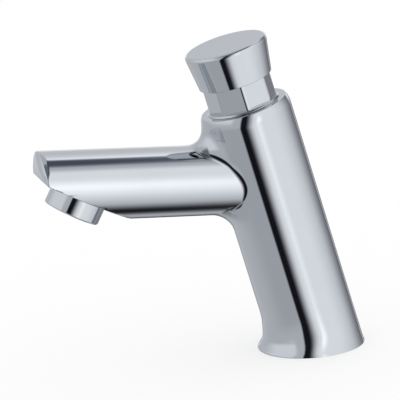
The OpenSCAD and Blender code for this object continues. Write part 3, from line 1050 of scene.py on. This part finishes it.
    def slope(self, points: np.ndarray) -> np.ndarray:
        """Find the direction in which the distance from the skin grows.

        Args:
            points: Rows of x, y and z.

        Returns:
            Rows of how much the distance grows along x, y and z, per metre.
        """
        moves = self.step * np.eye(3)
        parts = [self.outside(points + move) - self.outside(points - move) for move in moves]
        return np.stack(parts, axis=1) / (2.0 * self.step)

    def settle(self, points: np.ndarray, rounds: int = 12) -> np.ndarray:
        """Move points onto the skin.

        Args:
            points: Rows of x, y and z near the skin.
            rounds: How often each point is moved at most.

        Returns:
            The moved points.
        """
        moved = points.copy()
        for _ in range(rounds):
            gap = self.outside(moved)
            far = np.abs(gap) > self.near
            if not far.any():
                break
            slope = self.slope(moved[far])
            steep = np.maximum((slope**2).sum(1), self.least_slope)
            moved[far] -= slope * (gap[far] / steep)[:, None]
        return moved


@dataclass(frozen=True)
class Body(Piece):
    """The cast body: foot, column and spout in one skin, with its bores.

    Attributes:
        form: The outside that the skin settles on.
        round_steps: Number of faces round the column.
        spout_steps: Number of faces round the spout.
        deck_rings: Radii of the rings on the deck, as shares of the column's.
        foot_rings: Heights of the rings of the foot and the column's lower part, in millimetres.
        foot_wall: Share of the column's radius from which a point belongs to the foot's wall.
        root_step: Distance from ring to ring round the spout's root.
        root_low: Place along the column from which its rings are that close.
        root_out: Place along the spout up to which its rings are that close.
        spout_step: Distance from ring to ring on the rest of the spout.
        tip_rings: Distances of the last rings from the spout's end, in millimetres.
        tip_spare: Length by which the uncut spout is too long, in millimetres.
        rim_steps: Number of rings where the wall draws in to the rim.
        rim_guard: Distance of the rings beside the rim's edge.
        edge_steps: Number of faces across a rounded edge of the spout's end.
        on_plane: Distance from a plane at which an edge lies in it.
        sharp: Angle between two faces of a bore, in degrees, from which their edge is sharp.
        on_skin: Distance from the form at which a point lies on the skin.
        near_skin: Distance from the form at which a face's middle belongs to the skin.
        over: Length by which the solids of the bores stand out of the body.
        bore_steps: Number of faces round the small bores.
        socket_steps: Number of faces round the aerator's socket.
    """

    node: str = "body_casting"
    rider: Rider = Rider.TAP
    slot: Slot = Slot.CHROME
    axis: Axis = PLAN.column
    form: BodyForm = BodyForm()
    round_steps: int = 144
    spout_steps: int = 160
    deck_rings: tuple[float, ...] = (0.0, 0.6, 0.9)
    foot_rings: tuple[float, ...] = (
        *(0.0, 0.06, 0.12, 0.2, 0.3, 0.5, 0.7, 0.9, 1.1, 1.3, 1.5, 1.8, 2.2, 2.7, 3.3, 4.0),
        *(4.8, 5.6, 6.4, 7.2, 8.0, 9.0, 10.5, 12.0, 13.5, 15.0, 16.5, 18.0, 19.5, 21.0, 22.5),
        *(24.0, 25.5, 29.0, 33.0, 38.0, 43.0, 48.0),
    )
    foot_wall: float = 0.95
    root_step: float = 0.9 * MM
    root_low: float = 52.0 * MM
    root_out: float = 46.0 * MM
    spout_step: float = 4.0 * MM
    tip_rings: tuple[float, ...] = (9.0, 7.0, 5.0, 3.6, 2.9, 2.5, 2.2, 1.9, 1.6, 1.2)
    tip_spare: float = 2.0
    rim_steps: int = 12
    rim_guard: float = 0.3 * MM
    edge_steps: int = 6
    on_plane: float = 1e-3 * MM
    sharp: float = 30.0
    on_skin: float = 0.01 * MM
    near_skin: float = 0.2 * MM
    over: float = 2.0 * MM
    bore_steps: int = 64
    socket_steps: int = 96
    mouth_radius: float = 16.5 * MM
    mouth_depth: float = 9.0 * MM
    mouth_chamfer: float = 0.3 * MM
    bore_radius: float = 13.5 * MM
    bore_floor: float = 62.0 * MM
    chamber_radius: float = 9.5 * MM
    chamber_floor: float = 44.4 * MM
    waterway_radius: float = 8.5 * MM
    waterway_length: float = 84.95 * MM
    socket_radius: float = 12.0 * MM
    socket_depth: float = 7.0 * MM
    inlet_radius: float = 4.5 * MM
    inlet_depth: float = 14.0 * MM
    filter_radius: float = 4.0 * MM
    filter_height: float = 1.5 * MM
    passage_radius: float = 3.2 * MM
    passage_height: float = 45.3 * MM
    stud_radius: float = 3.4 * MM
    stud_depth: float = 18.0 * MM
    seal_radius: float = 23.0 * MM
    seal_width: float = 3.5 * MM
    seal_depth: float = 1.85 * MM

    def build(self) -> bpy.types.Object:
        """Model the body.

        Returns:
            The finished body.
        """
        body = self.column_blank()
        Bench.combine(body, self.spout_blank(), Join.ADD)
        Bench.move_points(body, self.form.settle(Bench.points(body)))
        for cutter in self.cutters():
            Bench.combine(body, cutter, Join.CUT)
        with Bench.editing(body):
            bpy.ops.mesh.remove_doubles(threshold=MERGE)
        self.smooth_skin(body)
        return body

    def column_blank(self) -> bpy.types.Object:
        """Spin the column, level its lower rings and spread them into the foot.

        Returns:
            The column with its foot, without bores.
        """
        form, axis, radius, length = self.form, PLAN.column, PLAN.column_radius, PLAN.column_length
        upright = math.cos(math.radians(axis.tilt))
        places = [height * MM / upright for height in self.foot_rings]
        rim = length - form.rim_height
        places += list(np.arange(self.root_low, rim - self.root_step, self.root_step))
        outline = [(share * radius, 0.0) for share in self.deck_rings]
        outline += [(radius, place) for place in places]
        top = radius - form.rim_inset
        arc = np.linspace(rim, length - self.rim_guard, self.rim_steps)
        corners = [
            *((form.rim_radius(place), place, 0.0) for place in arc),
            (top, length, form.rim_edge),
            (top - self.rim_guard, length, 0.0),
            (self.mouth_radius, length, 0.0),
        ]
        outline += Bench.rounded(corners) + [(0.0, length)]
        body = Bench.turn("body", axis, outline, self.round_steps)
        points = Bench.points(body)
        place, across, distance = axis.measure(points)
        level = Blend.ease(place, self.root_low, 0.5 * self.root_low)
        lift = level * across * math.tan(math.radians(axis.tilt))
        points -= lift[:, None] * np.array(axis.along)
        wall = (points[:, 2] < form.foot_height) & (distance > self.foot_wall * radius)
        centre, share = form.section(points[wall])
        points[wall, 0] /= share
        points[wall, 1] = centre + (points[wall, 1] - centre) / share
        Bench.move_points(body, points)
        return body

    def spout_blank(self) -> bpy.types.Object:
        """Extrude the spout ring by ring, cut its end and its underside, and round their edges.

        Returns:
            The spout without bores, which starts inside the column.
        """
        axis, form = PLAN.spout, self.form
        start = 0.5 * PLAN.column_radius
        bpy.ops.object.select_all(action="DESELECT")
        bpy.ops.mesh.primitive_circle_add(
            vertices=self.spout_steps,
            radius=PLAN.spout_radius,
            fill_type="NGON",
            location=axis.point(0.0, start),
            rotation=(math.radians(axis.tilt), 0.0, 0.0),
        )
        spout = Bench.named("spout")
        end = axis.measure(np.array([PLAN.tip]))[0][0]
        places = [start, *np.arange(start + self.root_step, self.root_out, self.root_step)]
        last = end - (self.tip_rings[0] + self.tip_spare) * MM
        places += list(np.arange(self.root_out, last, self.spout_step))
        places += [end - ring * MM for ring in self.tip_rings] + [end + self.tip_spare * MM]
        with Bench.editing(spout):
            for here, there in zip(places, places[1:]):
                move = {"value": axis.along * (there - here)}
                bpy.ops.mesh.extrude_region_move(TRANSFORM_OT_translate=move)
        points = Bench.points(spout)
        place, across, _ = axis.measure(points)
        lean = math.tan(math.radians(PLAN.spout_rise + PLAN.tip_lean))
        way = end - self.tip_rings[0] * MM - self.root_out
        share = np.clip((place - self.root_out) / way, 0.0, 1.0)
        points += (share * lean * across)[:, None] * np.array(axis.along)
        Bench.move_points(spout, points)
        with Bench.editing(spout):
            self.trim(spout, PLAN.tip, PLAN.tip_normal, form.tip_edge)
            self.trim(spout, Vector(PLAN.outlet.foot), PLAN.outlet.along, form.cut_edge)
        return spout

    def trim(self, spout: bpy.types.Object, point: Vector, normal: Vector, edge: float) -> None:
        """Cut the spout off on a plane and round the new edge.

        Args:
            spout: The spout in edit mode.
            point: A point of the plane.
            normal: The plane's direction, towards what is cut off.
            edge: Radius of the rounding.
        """
        bpy.ops.mesh.select_mode(type="VERT")
        bpy.ops.mesh.select_all(action="SELECT")
        bpy.ops.mesh.bisect(plane_co=point, plane_no=normal, use_fill=True, clear_outer=True)
        bpy.ops.mesh.select_all(action="SELECT")
        bpy.ops.mesh.normals_make_consistent(inside=False)
        Bench.choose_edges(
            spout, lambda *ends: all(abs((end - point).dot(normal)) < self.on_plane for end in ends)
        )
        bpy.ops.mesh.bevel(offset=edge, segments=self.edge_steps, profile=0.5, affect="EDGES")

    def cutters(self) -> Iterator[bpy.types.Object]:
        """Turn the solids of the body's bores one after the other.

        Yields:
            A solid to cut away.
        """
        length, over = PLAN.column_length, self.over
        step = length - self.mouth_depth
        mouth = self.mouth_radius + self.mouth_chamfer
        yield Bench.turn(
            "cartridge_bore",
            PLAN.column,
            [
                (0.0, self.chamber_floor),
                (self.chamber_radius, self.chamber_floor),
                (self.chamber_radius, self.bore_floor),
                (self.bore_radius, self.bore_floor),
                (self.bore_radius, step),
                (self.mouth_radius, step),
                (self.mouth_radius, length - self.mouth_chamfer),
                (mouth, length),
                (mouth, length + over),
                (0.0, length + over),
            ],
        )
        yield Bench.rod(
            "waterway",
            PLAN.spout,
            self.waterway_radius,
            (0.0, self.waterway_length),
            self.bore_steps,
        )
        yield Bench.rod(
            "aerator_socket",
            PLAN.outlet,
            self.socket_radius,
            (-self.socket_depth, over),
            self.socket_steps,
        )
        filter_top = self.inlet_depth + self.filter_height
        yield Bench.turn(
            "inlet",
            PLAN.inlet,
            [
                (0.0, -over),
                (self.inlet_radius, -over),
                (self.inlet_radius, self.inlet_depth),
                (self.filter_radius, self.inlet_depth),
                (self.filter_radius, filter_top),
                (self.passage_radius, filter_top),
                (self.passage_radius, self.passage_height),
                (0.0, self.passage_height),
            ],
            self.bore_steps,
        )
        yield Bench.rod(
            "stud_hole", PLAN.stud, self.stud_radius, (-over, self.stud_depth), self.bore_steps
        )
        inner = self.seal_radius - self.seal_width
        yield Bench.turn(
            "seal_groove",
            PLAN.base,
            [
                (inner, -over),
                (self.seal_radius, -over),
                (self.seal_radius, self.seal_depth),
                (inner, self.seal_depth),
            ],
        )

    def smooth_skin(self, body: bpy.types.Object) -> None:
        """Give the skin's corners the form's own normals, and leave the bores' to Blender.

        Args:
            body: The finished body.
        """
        Bench.pick_up(body)
        bpy.ops.object.shade_smooth_by_angle(angle=math.radians(self.sharp))
        mesh = body.data
        middles = np.empty(3 * len(mesh.polygons))
        mesh.polygons.foreach_get("center", middles)
        totals = np.empty(len(mesh.polygons), dtype=np.int64)
        mesh.polygons.foreach_get("loop_total", totals)
        corners = np.empty(len(mesh.loops), dtype=np.int64)
        mesh.loops.foreach_get("vertex_index", corners)
        points = Bench.points(body)
        on_skin = np.abs(self.form.outside(points)) < self.on_skin
        outer_face = np.abs(self.form.outside(middles.reshape(-1, 3))) < self.near_skin
        wanted = np.repeat(outer_face, totals) & on_skin[corners]
        slope = self.form.slope(points)
        slope /= np.maximum(np.linalg.norm(slope, axis=1), 1e-9)[:, None]
        # A normal of no length keeps Blender's own.
        normals = np.where(wanted[:, None], slope[corners], 0.0)
        mesh.normals_split_custom_set(normals.tolist())


@dataclass(frozen=True)
class Neck(Piece):
    """The neck that screws into the body's mouth and guides the button, with flats for a spanner.

    Attributes:
        radius: Distance of the corners between the flats from the neck's line.
        flats: Number of the flats.
        flat_turn: Turn of one of the corners from +X, in degrees.
        flat_edge: Rounding of the corners.
        flat_slack: Distance from the outside at which a point lies on it.
        round_steps: Number of faces round the neck.
        collar_edge: Rounding of the collar's edges.
        edge: Rounding of the other edges.
    """

    node: str = "neck_sleeve"
    rider: Rider = Rider.TAP
    slot: Slot = Slot.CHROME
    axis: Axis = PLAN.column
    radius: float = 15.7 * MM
    flats: int = 8
    flat_turn: float = -5.625
    flat_edge: float = 3.0 * MM
    flat_slack: float = 0.01 * MM
    round_steps: int = 384
    top: float = 133.5 * MM
    thread_radius: float = 16.45 * MM
    thread_low: float = 113.6 * MM
    thread_high: float = 118.0 * MM
    collar_radius: float = 16.9 * MM
    collar_low: float = 119.05 * MM
    collar_high: float = 119.8 * MM
    collar_edge: float = 0.1 * MM
    shoulder_radius: float = 16.2 * MM
    tube_radius: float = 13.1 * MM
    wall_low: float = 121.5 * MM
    wall_high: float = 125.5 * MM
    recess_radius: float = 12.0 * MM
    wiper_radius: float = 5.5 * MM
    wiper_height: float = 1.9 * MM
    spindle_radius: float = 3.05 * MM
    edge: float = 0.4 * MM

    def build(self) -> bpy.types.Object:
        """Turn the neck.

        Returns:
            The finished neck.
        """
        corners = [
            (self.tube_radius, self.thread_low, 0.0),
            (self.thread_radius, self.thread_low, self.edge),
            (self.thread_radius, self.thread_high, self.edge),
            (self.radius, self.thread_high, 0.0),
            (self.radius, self.collar_low, 0.0),
            (self.collar_radius, self.collar_low, self.collar_edge),
            (self.shoulder_radius, self.collar_high, self.collar_edge),
            (self.radius, self.collar_high, 0.0),
            (self.radius, self.top, self.edge),
            (self.recess_radius, self.top, self.edge),
            (self.recess_radius, self.wall_high, 0.0),
            (self.wiper_radius, self.wall_high, 0.0),
            (self.wiper_radius, self.wall_high - self.wiper_height, 0.0),
            (self.spindle_radius, self.wall_high - self.wiper_height, 0.0),
            (self.spindle_radius, self.wall_low, 0.0),
            (self.tube_radius, self.wall_low, 0.0),
        ]
        neck = Bench.turn("neck", PLAN.column, Bench.rounded(corners), self.round_steps)
        self.flatten(neck)
        Bench.polish(neck)
        return neck

    def flatten(self, neck: bpy.types.Object) -> None:
        """Draw the round outside above the collar in to the flats.

        Args:
            neck: The turned neck.
        """
        axis, half_edge = PLAN.column, self.edge / 2
        points = Bench.points(neck)
        place, across, distance = axis.measure(points)
        wall = np.abs(distance - self.radius + half_edge) < half_edge + self.flat_slack
        outer = wall & (place > self.collar_high - self.flat_slack)
        flats = self.outline(np.arctan2(across, points[:, 0]))
        inset = (self.radius - flats[outer]) / distance[outer]
        spoke = points[outer] - np.array(axis.foot) - place[outer, None] * np.array(axis.along)
        points[outer] -= inset[:, None] * spoke
        Bench.move_points(neck, points)

    def outline(self, turn: np.ndarray) -> np.ndarray:
        """Find the neck's outside with its flats.

        Args:
            turn: Turns round the neck's line, from +X, in radians.

        Returns:
            The distances from the line there.
        """
        half = math.pi / self.flats
        aside = np.abs((turn - math.radians(self.flat_turn)) % (2.0 * half) - half)
        centre = self.radius - self.flat_edge
        flat = centre * math.cos(half) + self.flat_edge
        corner = half - aside
        rounded = centre * np.cos(corner) + np.sqrt(
            np.maximum(self.flat_edge**2 - (centre * np.sin(corner)) ** 2, 0.0)
        )
        on_flat = np.tan(aside) * flat < centre * math.sin(half)
        return np.where(on_flat, flat / np.cos(aside), rounded)


@dataclass(frozen=True)
class Button(Piece):
    """The conical push button, hollow, with a boss for the spindle."""

    node: str = "push_button"
    rider: Rider = Rider.PLUNGER
    slot: Slot = Slot.CHROME
    axis: Axis = PLAN.column
    foot: float = 131.4 * MM
    foot_radius: float = 16.85 * MM
    top: float = 148.4 * MM
    top_radius: float = 19.25 * MM
    crown: float = 1.6 * MM
    edge_steps: int = 8
    edge: float = 0.3 * MM
    bore_radius: float = 15.85 * MM
    roof: float = 145.1 * MM
    boss_radius: float = 6.0 * MM
    boss_foot: float = 138.5 * MM
    spindle_radius: float = 3.05 * MM

    def build(self) -> bpy.types.Object:
        """Turn the button.

        Returns:
            The finished button.
        """
        corners = [
            (0.0, self.roof, 0.0),
            (self.spindle_radius, self.roof, 0.0),
            (self.spindle_radius, self.boss_foot, 0.0),
            (self.boss_radius, self.boss_foot, self.edge),
            (self.boss_radius, self.roof, 0.0),
            (self.bore_radius, self.roof, 0.0),
            (self.bore_radius, self.foot, self.edge),
            (self.foot_radius, self.foot, self.edge),
            (self.top_radius, self.top, self.crown),
            (0.0, self.top, 0.0),
        ]
        button = Bench.turn("button", PLAN.column, Bench.rounded(corners, self.edge_steps))
        Bench.polish(button)
        return button


@dataclass(frozen=True)
class AeratorRing(Piece):
    """The ring that holds the aerator in the spout's socket."""

    node: str = "aerator_housing"
    rider: Rider = Rider.TAP
    slot: Slot = Slot.CHROME
    axis: Axis = PLAN.outlet
    radius: float = 13.0 * MM
    height: float = 8.4 * MM
    bevel: float = 0.5 * MM
    edge: float = 0.25 * MM
    thread_radius: float = 11.95 * MM
    thread_length: float = 5.5 * MM
    bore_radius: float = 10.55 * MM
    lip_radius: float = 9.45 * MM
    lip_height: float = 1.9 * MM

    def build(self) -> bpy.types.Object:
        """Turn the ring.

        Returns:
            The finished ring.
        """
        corners = [
            (self.bore_radius, -self.thread_length, 0.0),
            (self.thread_radius, -self.thread_length, self.edge),
            (self.thread_radius, 0.0, 0.0),
            (self.radius, 0.0, self.edge),
            (self.radius, self.height - self.bevel, self.edge),
            (self.radius - self.bevel, self.height, self.edge),
            (self.lip_radius, self.height, self.edge),
            (self.lip_radius, self.height - self.lip_height, 0.0),
            (self.bore_radius, self.height - self.lip_height, 0.0),
        ]
        ring = Bench.turn("aerator_ring", PLAN.outlet, Bench.rounded(corners))
        Bench.polish(ring)
        return ring


@dataclass(frozen=True)
class ReturnSpring(Piece):
    """The wound wire that lifts the plunger."""

    node: str = "return_spring"
    rider: Rider = Rider.TAP
    slot: Slot = Slot.STEEL
    axis: Axis = PLAN.column
    radius: float = 8.0 * MM
    wire: float = 1.4 * MM
    turns: int = 6
    low: float = 94.35 * MM
    high: float = 111.95 * MM
    end_gap: float = 0.5 * MM
    steps: int = 40
    sides: int = 12
    sharp: float = 50.0

    @property
    def length(self) -> float:
        """The spring's length at rest."""
        return self.high - self.low

    def build(self) -> bpy.types.Object:
        """Wind the spring with close end turns.

        Returns:
            The finished spring.
        """
        bpy.ops.object.select_all(action="DESELECT")
        bpy.ops.mesh.primitive_circle_add(
            vertices=self.sides,
            radius=self.wire / 2,
            location=(self.radius, 0.0, 0.0),
            rotation=(math.pi / 2, 0.0, 0.0),
        )
        spring = Bench.named("spring")
        bpy.ops.object.modifier_add(type="SCREW")
        screw = spring.modifiers[-1]
        screw.axis = "Z"
        screw.iterations = self.turns
        screw.steps = screw.render_steps = self.steps
        screw.screw_offset = self.wire + self.end_gap
        bpy.ops.object.modifier_apply(modifier=screw.name)
        with Bench.editing(spring):
            bpy.ops.mesh.remove_doubles(threshold=MERGE)
            bpy.ops.mesh.fill_holes(sides=0)
            bpy.ops.mesh.select_all(action="SELECT")
            bpy.ops.mesh.normals_make_consistent(inside=False)
        self.stretch(spring)
        spring.rotation_euler = (math.radians(PLAN.column.tilt), 0.0, 0.0)
        spring.location = PLAN.column.point(0.0, self.low + self.wire / 2)
        Bench.pick_up(spring)
        bpy.ops.object.transform_apply(location=True, rotation=True, scale=True)
        bpy.ops.object.shade_smooth_by_angle(angle=math.radians(self.sharp))
        return spring

    def stretch(self, spring: bpy.types.Object) -> None:
        """Open the turns between the two close end turns to the spring's length.

        Args:
            spring: The spring, wound closely up from z = 0.
        """
        points = Bench.points(spring)
        pitch = self.wire + self.end_gap
        angle = np.arctan2(points[:, 1], points[:, 0]) / math.tau
        turn = angle + np.round(points[:, 2] / pitch - angle)
        spread = (self.length - self.wire - self.turns * pitch) / (self.turns - 2)
        points[:, 2] += spread * np.clip(turn - 1.0, 0.0, self.turns - 2)
        Bench.move_points(spring, points)

    def dress(self, obj: bpy.types.Object) -> None:
        """Dress the spring as other pieces are, and give it a mesh of its own.

        Args:
            obj: The finished spring.
        """
        super().dress(obj)
        anchor = PLAN.column.point(0.0, self.low)
        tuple(PLAN.column.along)
        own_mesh(obj)


@dataclass(frozen=True)
class Inside:
    """The finishes of the solids that come from the frame.

    Attributes:
        lines: Starts of names, with the lines of such solids. Others lie on the column's.
    """

    lines: tuple[tuple[str, Axis], ...] = (
        ("aerator", PLAN.outlet),
        ("inlet", PLAN.inlet),
        ("base", PLAN.base),
    )

    def line(self, node: str) -> Axis:
        """Find the line that a solid lies on, from the start of its name."""
        return next((axis for start, axis in self.lines if node.startswith(start)), PLAN.column)

    def dress(self) -> None:
        """Dress every solid of the frame with its slot's finish."""
        slots = {slot.slot: slot for slot in Slot}
        for subpart in frame["record"]["subparts"]:
            node = subpart["node"]
            slots[subpart["material_slot"]].dress(frame["nodes"][node], self.line(node))
            log.info("%s: %s", node, subpart["material_slot"])


@dataclass(frozen=True)
class Panel:
    """A soft-edged light or black flag of the studio, by its directions from the tap in degrees.

    Attributes:
        sides: Azimuths of its two sides, from +X towards +Y.
        edges: Elevations of its lower and upper edge.
        side_soft: Half the width over which each side fades.
        edge_soft: Half the height over which the lower and the upper edge fade.
        light: Its colour and strength.
    """

    sides: tuple[float, float]
    edges: tuple[float, float]
    side_soft: tuple[float, float]
    edge_soft: tuple[float, float]
    light: Colour

    def over(self, sheet: Sheet, turn: Term, rise: Term, behind: Term | Colour) -> Term:
        """Lay the panel over what is behind it.

        Args:
            sheet: The sheet of the world.
            turn: Azimuth of the direction looked at, in radians.
            rise: Its elevation, in radians.
            behind: The colour without the panel.

        Returns:
            The colour with the panel.
        """
        middle = math.radians(sum(self.sides)) / 2
        half = math.radians(self.sides[1] - self.sides[0]) / 2
        aside = sheet.term(
            "ShaderNodeMath", {"operation": "WRAP"}, {0: turn - middle, 1: math.pi, 2: -math.pi}
        )
        share = self.fade(sheet, aside + half, self.side_soft[0])
        share *= self.fade(sheet, half - aside, self.side_soft[1])
        share *= self.fade(sheet, rise - math.radians(self.edges[0]), self.edge_soft[0])
        share *= self.fade(sheet, math.radians(self.edges[1]) - rise, self.edge_soft[1])
        return sheet.mix(share, behind, self.light)

    @staticmethod
    def fade(sheet: Sheet, inside: Term, soft: float) -> Term:
        """Fade from 0 outside an edge to 1 inside it.

        Args:
            sheet: The sheet of the world.
            inside: Angle inside the edge, in radians.
            soft: Half the width of the fade, in degrees.

        Returns:
            The fade.
        """
        edge = math.radians(soft)
        inputs = {"Value": inside, "From Min": -edge, "From Max": edge}
        return sheet.term("ShaderNodeMapRange", {"interpolation_type": "SMOOTHSTEP"}, inputs)


@dataclass(frozen=True)
class Studio:
    """A white room with soft lights and black flags that the metal mirrors, and a white floor.

    Attributes:
        white: The plain light that falls on everything and fills the background.
        surround: What the metal mirrors where no panel stands.
        panels: The lights and flags, each laid over the ones before it.
        floor_glow: Share of the floor's white that no shadow takes away.
        floor_size: Side of the floor.
        floor_low: Height of the floor.
    """

    white: Colour = (1.0, 1.0, 1.0)
    surround: Colour = (0.66, 0.67, 0.70)
    panels: tuple[Panel, ...] = (
        Panel((-165.0, -51.0), (25.0, 59.0), (9.0, 15.0), (35.0, 9.0), (0.84, 0.85, 0.87)),
        Panel((-128.0, -56.0), (4.0, 46.0), (22.0, 6.0), (12.0, 12.0), (0.98, 0.99, 1.01)),
        Panel((148.0, 186.0), (-50.0, -16.0), (8.0, 12.0), (10.0, 6.0), (0.33, 0.34, 0.36)),
        Panel((148.0, 180.0), (15.0, 51.5), (6.0, 24.0), (4.0, 9.5), (0.79, 0.80, 0.82)),
        Panel((-95.0, -26.0), (-64.0, -18.0), (32.0, 4.0), (5.0, 7.0), (0.55, 0.56, 0.59)),
        Panel((-19.0, 85.0), (-42.5, 55.0), (11.0, 40.0), (23.5, 8.0), (1.17, 1.17, 1.18)),
        Panel((8.6, 17.6), (-10.5, 17.5), (5.0, 8.0), (24.0, 19.0), (1.8, 1.8, 1.8)),
        Panel((115.0, 138.5), (-50.0, 43.0), (31.0, 6.5), (9.0, 3.3), (0.12, 0.12, 0.14)),
        Panel((134.0, 185.0), (-1.0, 9.5), (10.0, 6.0), (8.0, 3.4), (1.27, 1.27, 1.28)),
        Panel((148.0, 172.5), (-36.0, -2.5), (6.0, 3.0), (7.0, 3.0), (0.02, 0.02, 0.025)),
        Panel((126.5, 147.6), (44.0, 68.0), (6.0, 20.0), (12.5, 1.0), (1.36, 1.36, 1.37)),
        Panel((-33.5, -8.4), (-60.0, 58.0), (2.5, 13.0), (8.0, 13.0), (0.01, 0.01, 0.015)),
        Panel((-75.0, -12.7), (44.0, 84.0), (23.0, 11.0), (5.0, 13.0), (0.20, 0.21, 0.24)),
        Panel((-22.0, 8.0), (50.0, 70.0), (6.0, 6.0), (6.0, 4.0), (0.10, 0.11, 0.14)),
        Panel((-22.0, 30.0), (64.0, 92.0), (8.0, 8.0), (4.0, 10.0), (0.10, 0.11, 0.15)),
        Panel((22.0, 135.0), (67.0, 113.0), (9.0, 22.0), (4.5, 10.0), (0.10, 0.11, 0.15)),
        Panel((-45.0, 190.0), (-94.0, -68.0), (39.0, 17.5), (13.5, 15.4), (0.01, 0.01, 0.012)),
        Panel((-192.0, -68.0), (-115.0, -68.0), (11.0, 8.0), (10.0, 22.6), (0.28, 0.29, 0.31)),
    )
    floor_glow: float = 0.6
    floor_size: float = 6.0
    floor_low: float = -0.05 * MM

    def light(self) -> None:
        """Set up the world: plain white, with the panels for what the metal mirrors."""
        world = bpy.data.worlds.new("studio")
        world.use_nodes = True
        bpy.context.scene.world = world
        sheet = Sheet(world.node_tree)
        direction = sheet.term("ShaderNodeTexCoord", output="Generated")
        split = sheet.node("ShaderNodeSeparateXYZ", None, {0: direction})
        x, y, z = (Term(sheet, socket) for socket in split.outputs)
        turn, rise = x.math("ARCTAN2", y, x), z.math("ARCSINE", z)
        seen: Term | Colour = self.surround
        for panel in self.panels:
            seen = panel.over(sheet, turn, rise, seen)
        mirrored = sheet.term("ShaderNodeLightPath", output="Is Glossy Ray")
        white = (*self.white, 1.0)
        plain = sheet.term("ShaderNodeBackground", None, {"Color": white, "Strength": 1.0})
        pattern = sheet.term("ShaderNodeBackground", None, {"Color": seen, "Strength": 1.0})
        both = sheet.term("ShaderNodeMixShader", None, {0: mirrored, 1: plain, 2: pattern})
        sheet.node("ShaderNodeOutputWorld", None, {"Surface": both})

    def lay_floor(self) -> None:
        """Lay the floor, which the metal's mirrored light passes through."""
        bpy.ops.object.select_all(action="DESELECT")
        bpy.ops.mesh.primitive_plane_add(size=self.floor_size, location=(0.0, 0.0, self.floor_low))
        floor = Bench.named("floor")
        material = bpy.data.materials.new("white_floor")
        material.use_nodes = True
        sheet = Sheet(material.node_tree)
        mirrored = sheet.term("ShaderNodeLightPath", output="Is Glossy Ray")
        white = (*self.white, 1.0)
        paint = sheet.term("ShaderNodeBsdfDiffuse", None, {"Color": white})
        glow = sheet.term("ShaderNodeEmission", None, {"Color": white, "Strength": 1.0})
        pale = sheet.term("ShaderNodeMixShader", None, {0: self.floor_glow, 1: paint, 2: glow})
        clear = sheet.term("ShaderNodeBsdfTransparent")
        both = sheet.term("ShaderNodeMixShader", None, {0: mirrored, 1: pale, 2: clear})
        sheet.node("ShaderNodeOutputMaterial", None, {"Surface": both})
        floor.data.materials.append(material)


@dataclass(frozen=True)
class PhotoCamera:
    """The camera at the photograph's view.

    Attributes:
        azimuth: Turn round the tap, in degrees; 0 looks along +Y.
        elevation: Angle above the horizon, in degrees.
        roll: Turn of the picture, in degrees.
        distance: Distance from the point that is aimed at.
        lens: Focal length in millimetres.
        sensor: Width of the sensor in millimetres.
        near: Distance from which things are seen.
        aim: The point in the middle of the picture.
    """

    azimuth: float = 76.0
    elevation: float = 13.595
    roll: float = -4.5
    distance: float = 1.5
    lens: float = 296.9
    sensor: float = 36.0
    near: float = 0.05
    aim: tuple[float, float, float] = (-0.00487, -0.04595, 0.07358)

    def place(self) -> None:
        """Add the camera and make it the scene's own."""
        turn, rise, roll = (math.radians(a) for a in (self.azimuth, self.elevation, self.roll))
        back = Vector(
            (math.sin(turn) * math.cos(rise), -math.cos(turn) * math.cos(rise), math.sin(rise))
        )
        right = Vector((math.cos(turn), math.sin(turn), 0.0))
        up = back.cross(right)
        side = math.cos(roll) * right + math.sin(roll) * up
        top = back.cross(side)
        bpy.ops.object.camera_add()
        camera = bpy.context.object
        camera.name = "photo_camera"
        camera.data.sensor_width = self.sensor
        camera.data.lens = self.lens
        camera.data.clip_start = self.near
        turned = Matrix((side, top, back)).transposed().to_4x4()
        camera.matrix_world = Matrix.Translation(Vector(self.aim) + back * self.distance) @ turned
        bpy.context.scene.camera = camera


def main() -> None:
    """Build the tap's pieces in order, dress them and set up the studio."""
    logging.basicConfig(level=logging.INFO, format="%(message)s")
    bpy.context.scene.view_settings.view_transform = "Standard"
    PhotoCamera().place()
    studio = Studio()
    studio.light()
    studio.lay_floor()
    Inside().dress()
    for piece in (Body(), Neck(), Button(), AeratorRing(), ReturnSpring()):
        piece.dress(piece.build())


if __name__ == "__main__":
    main()
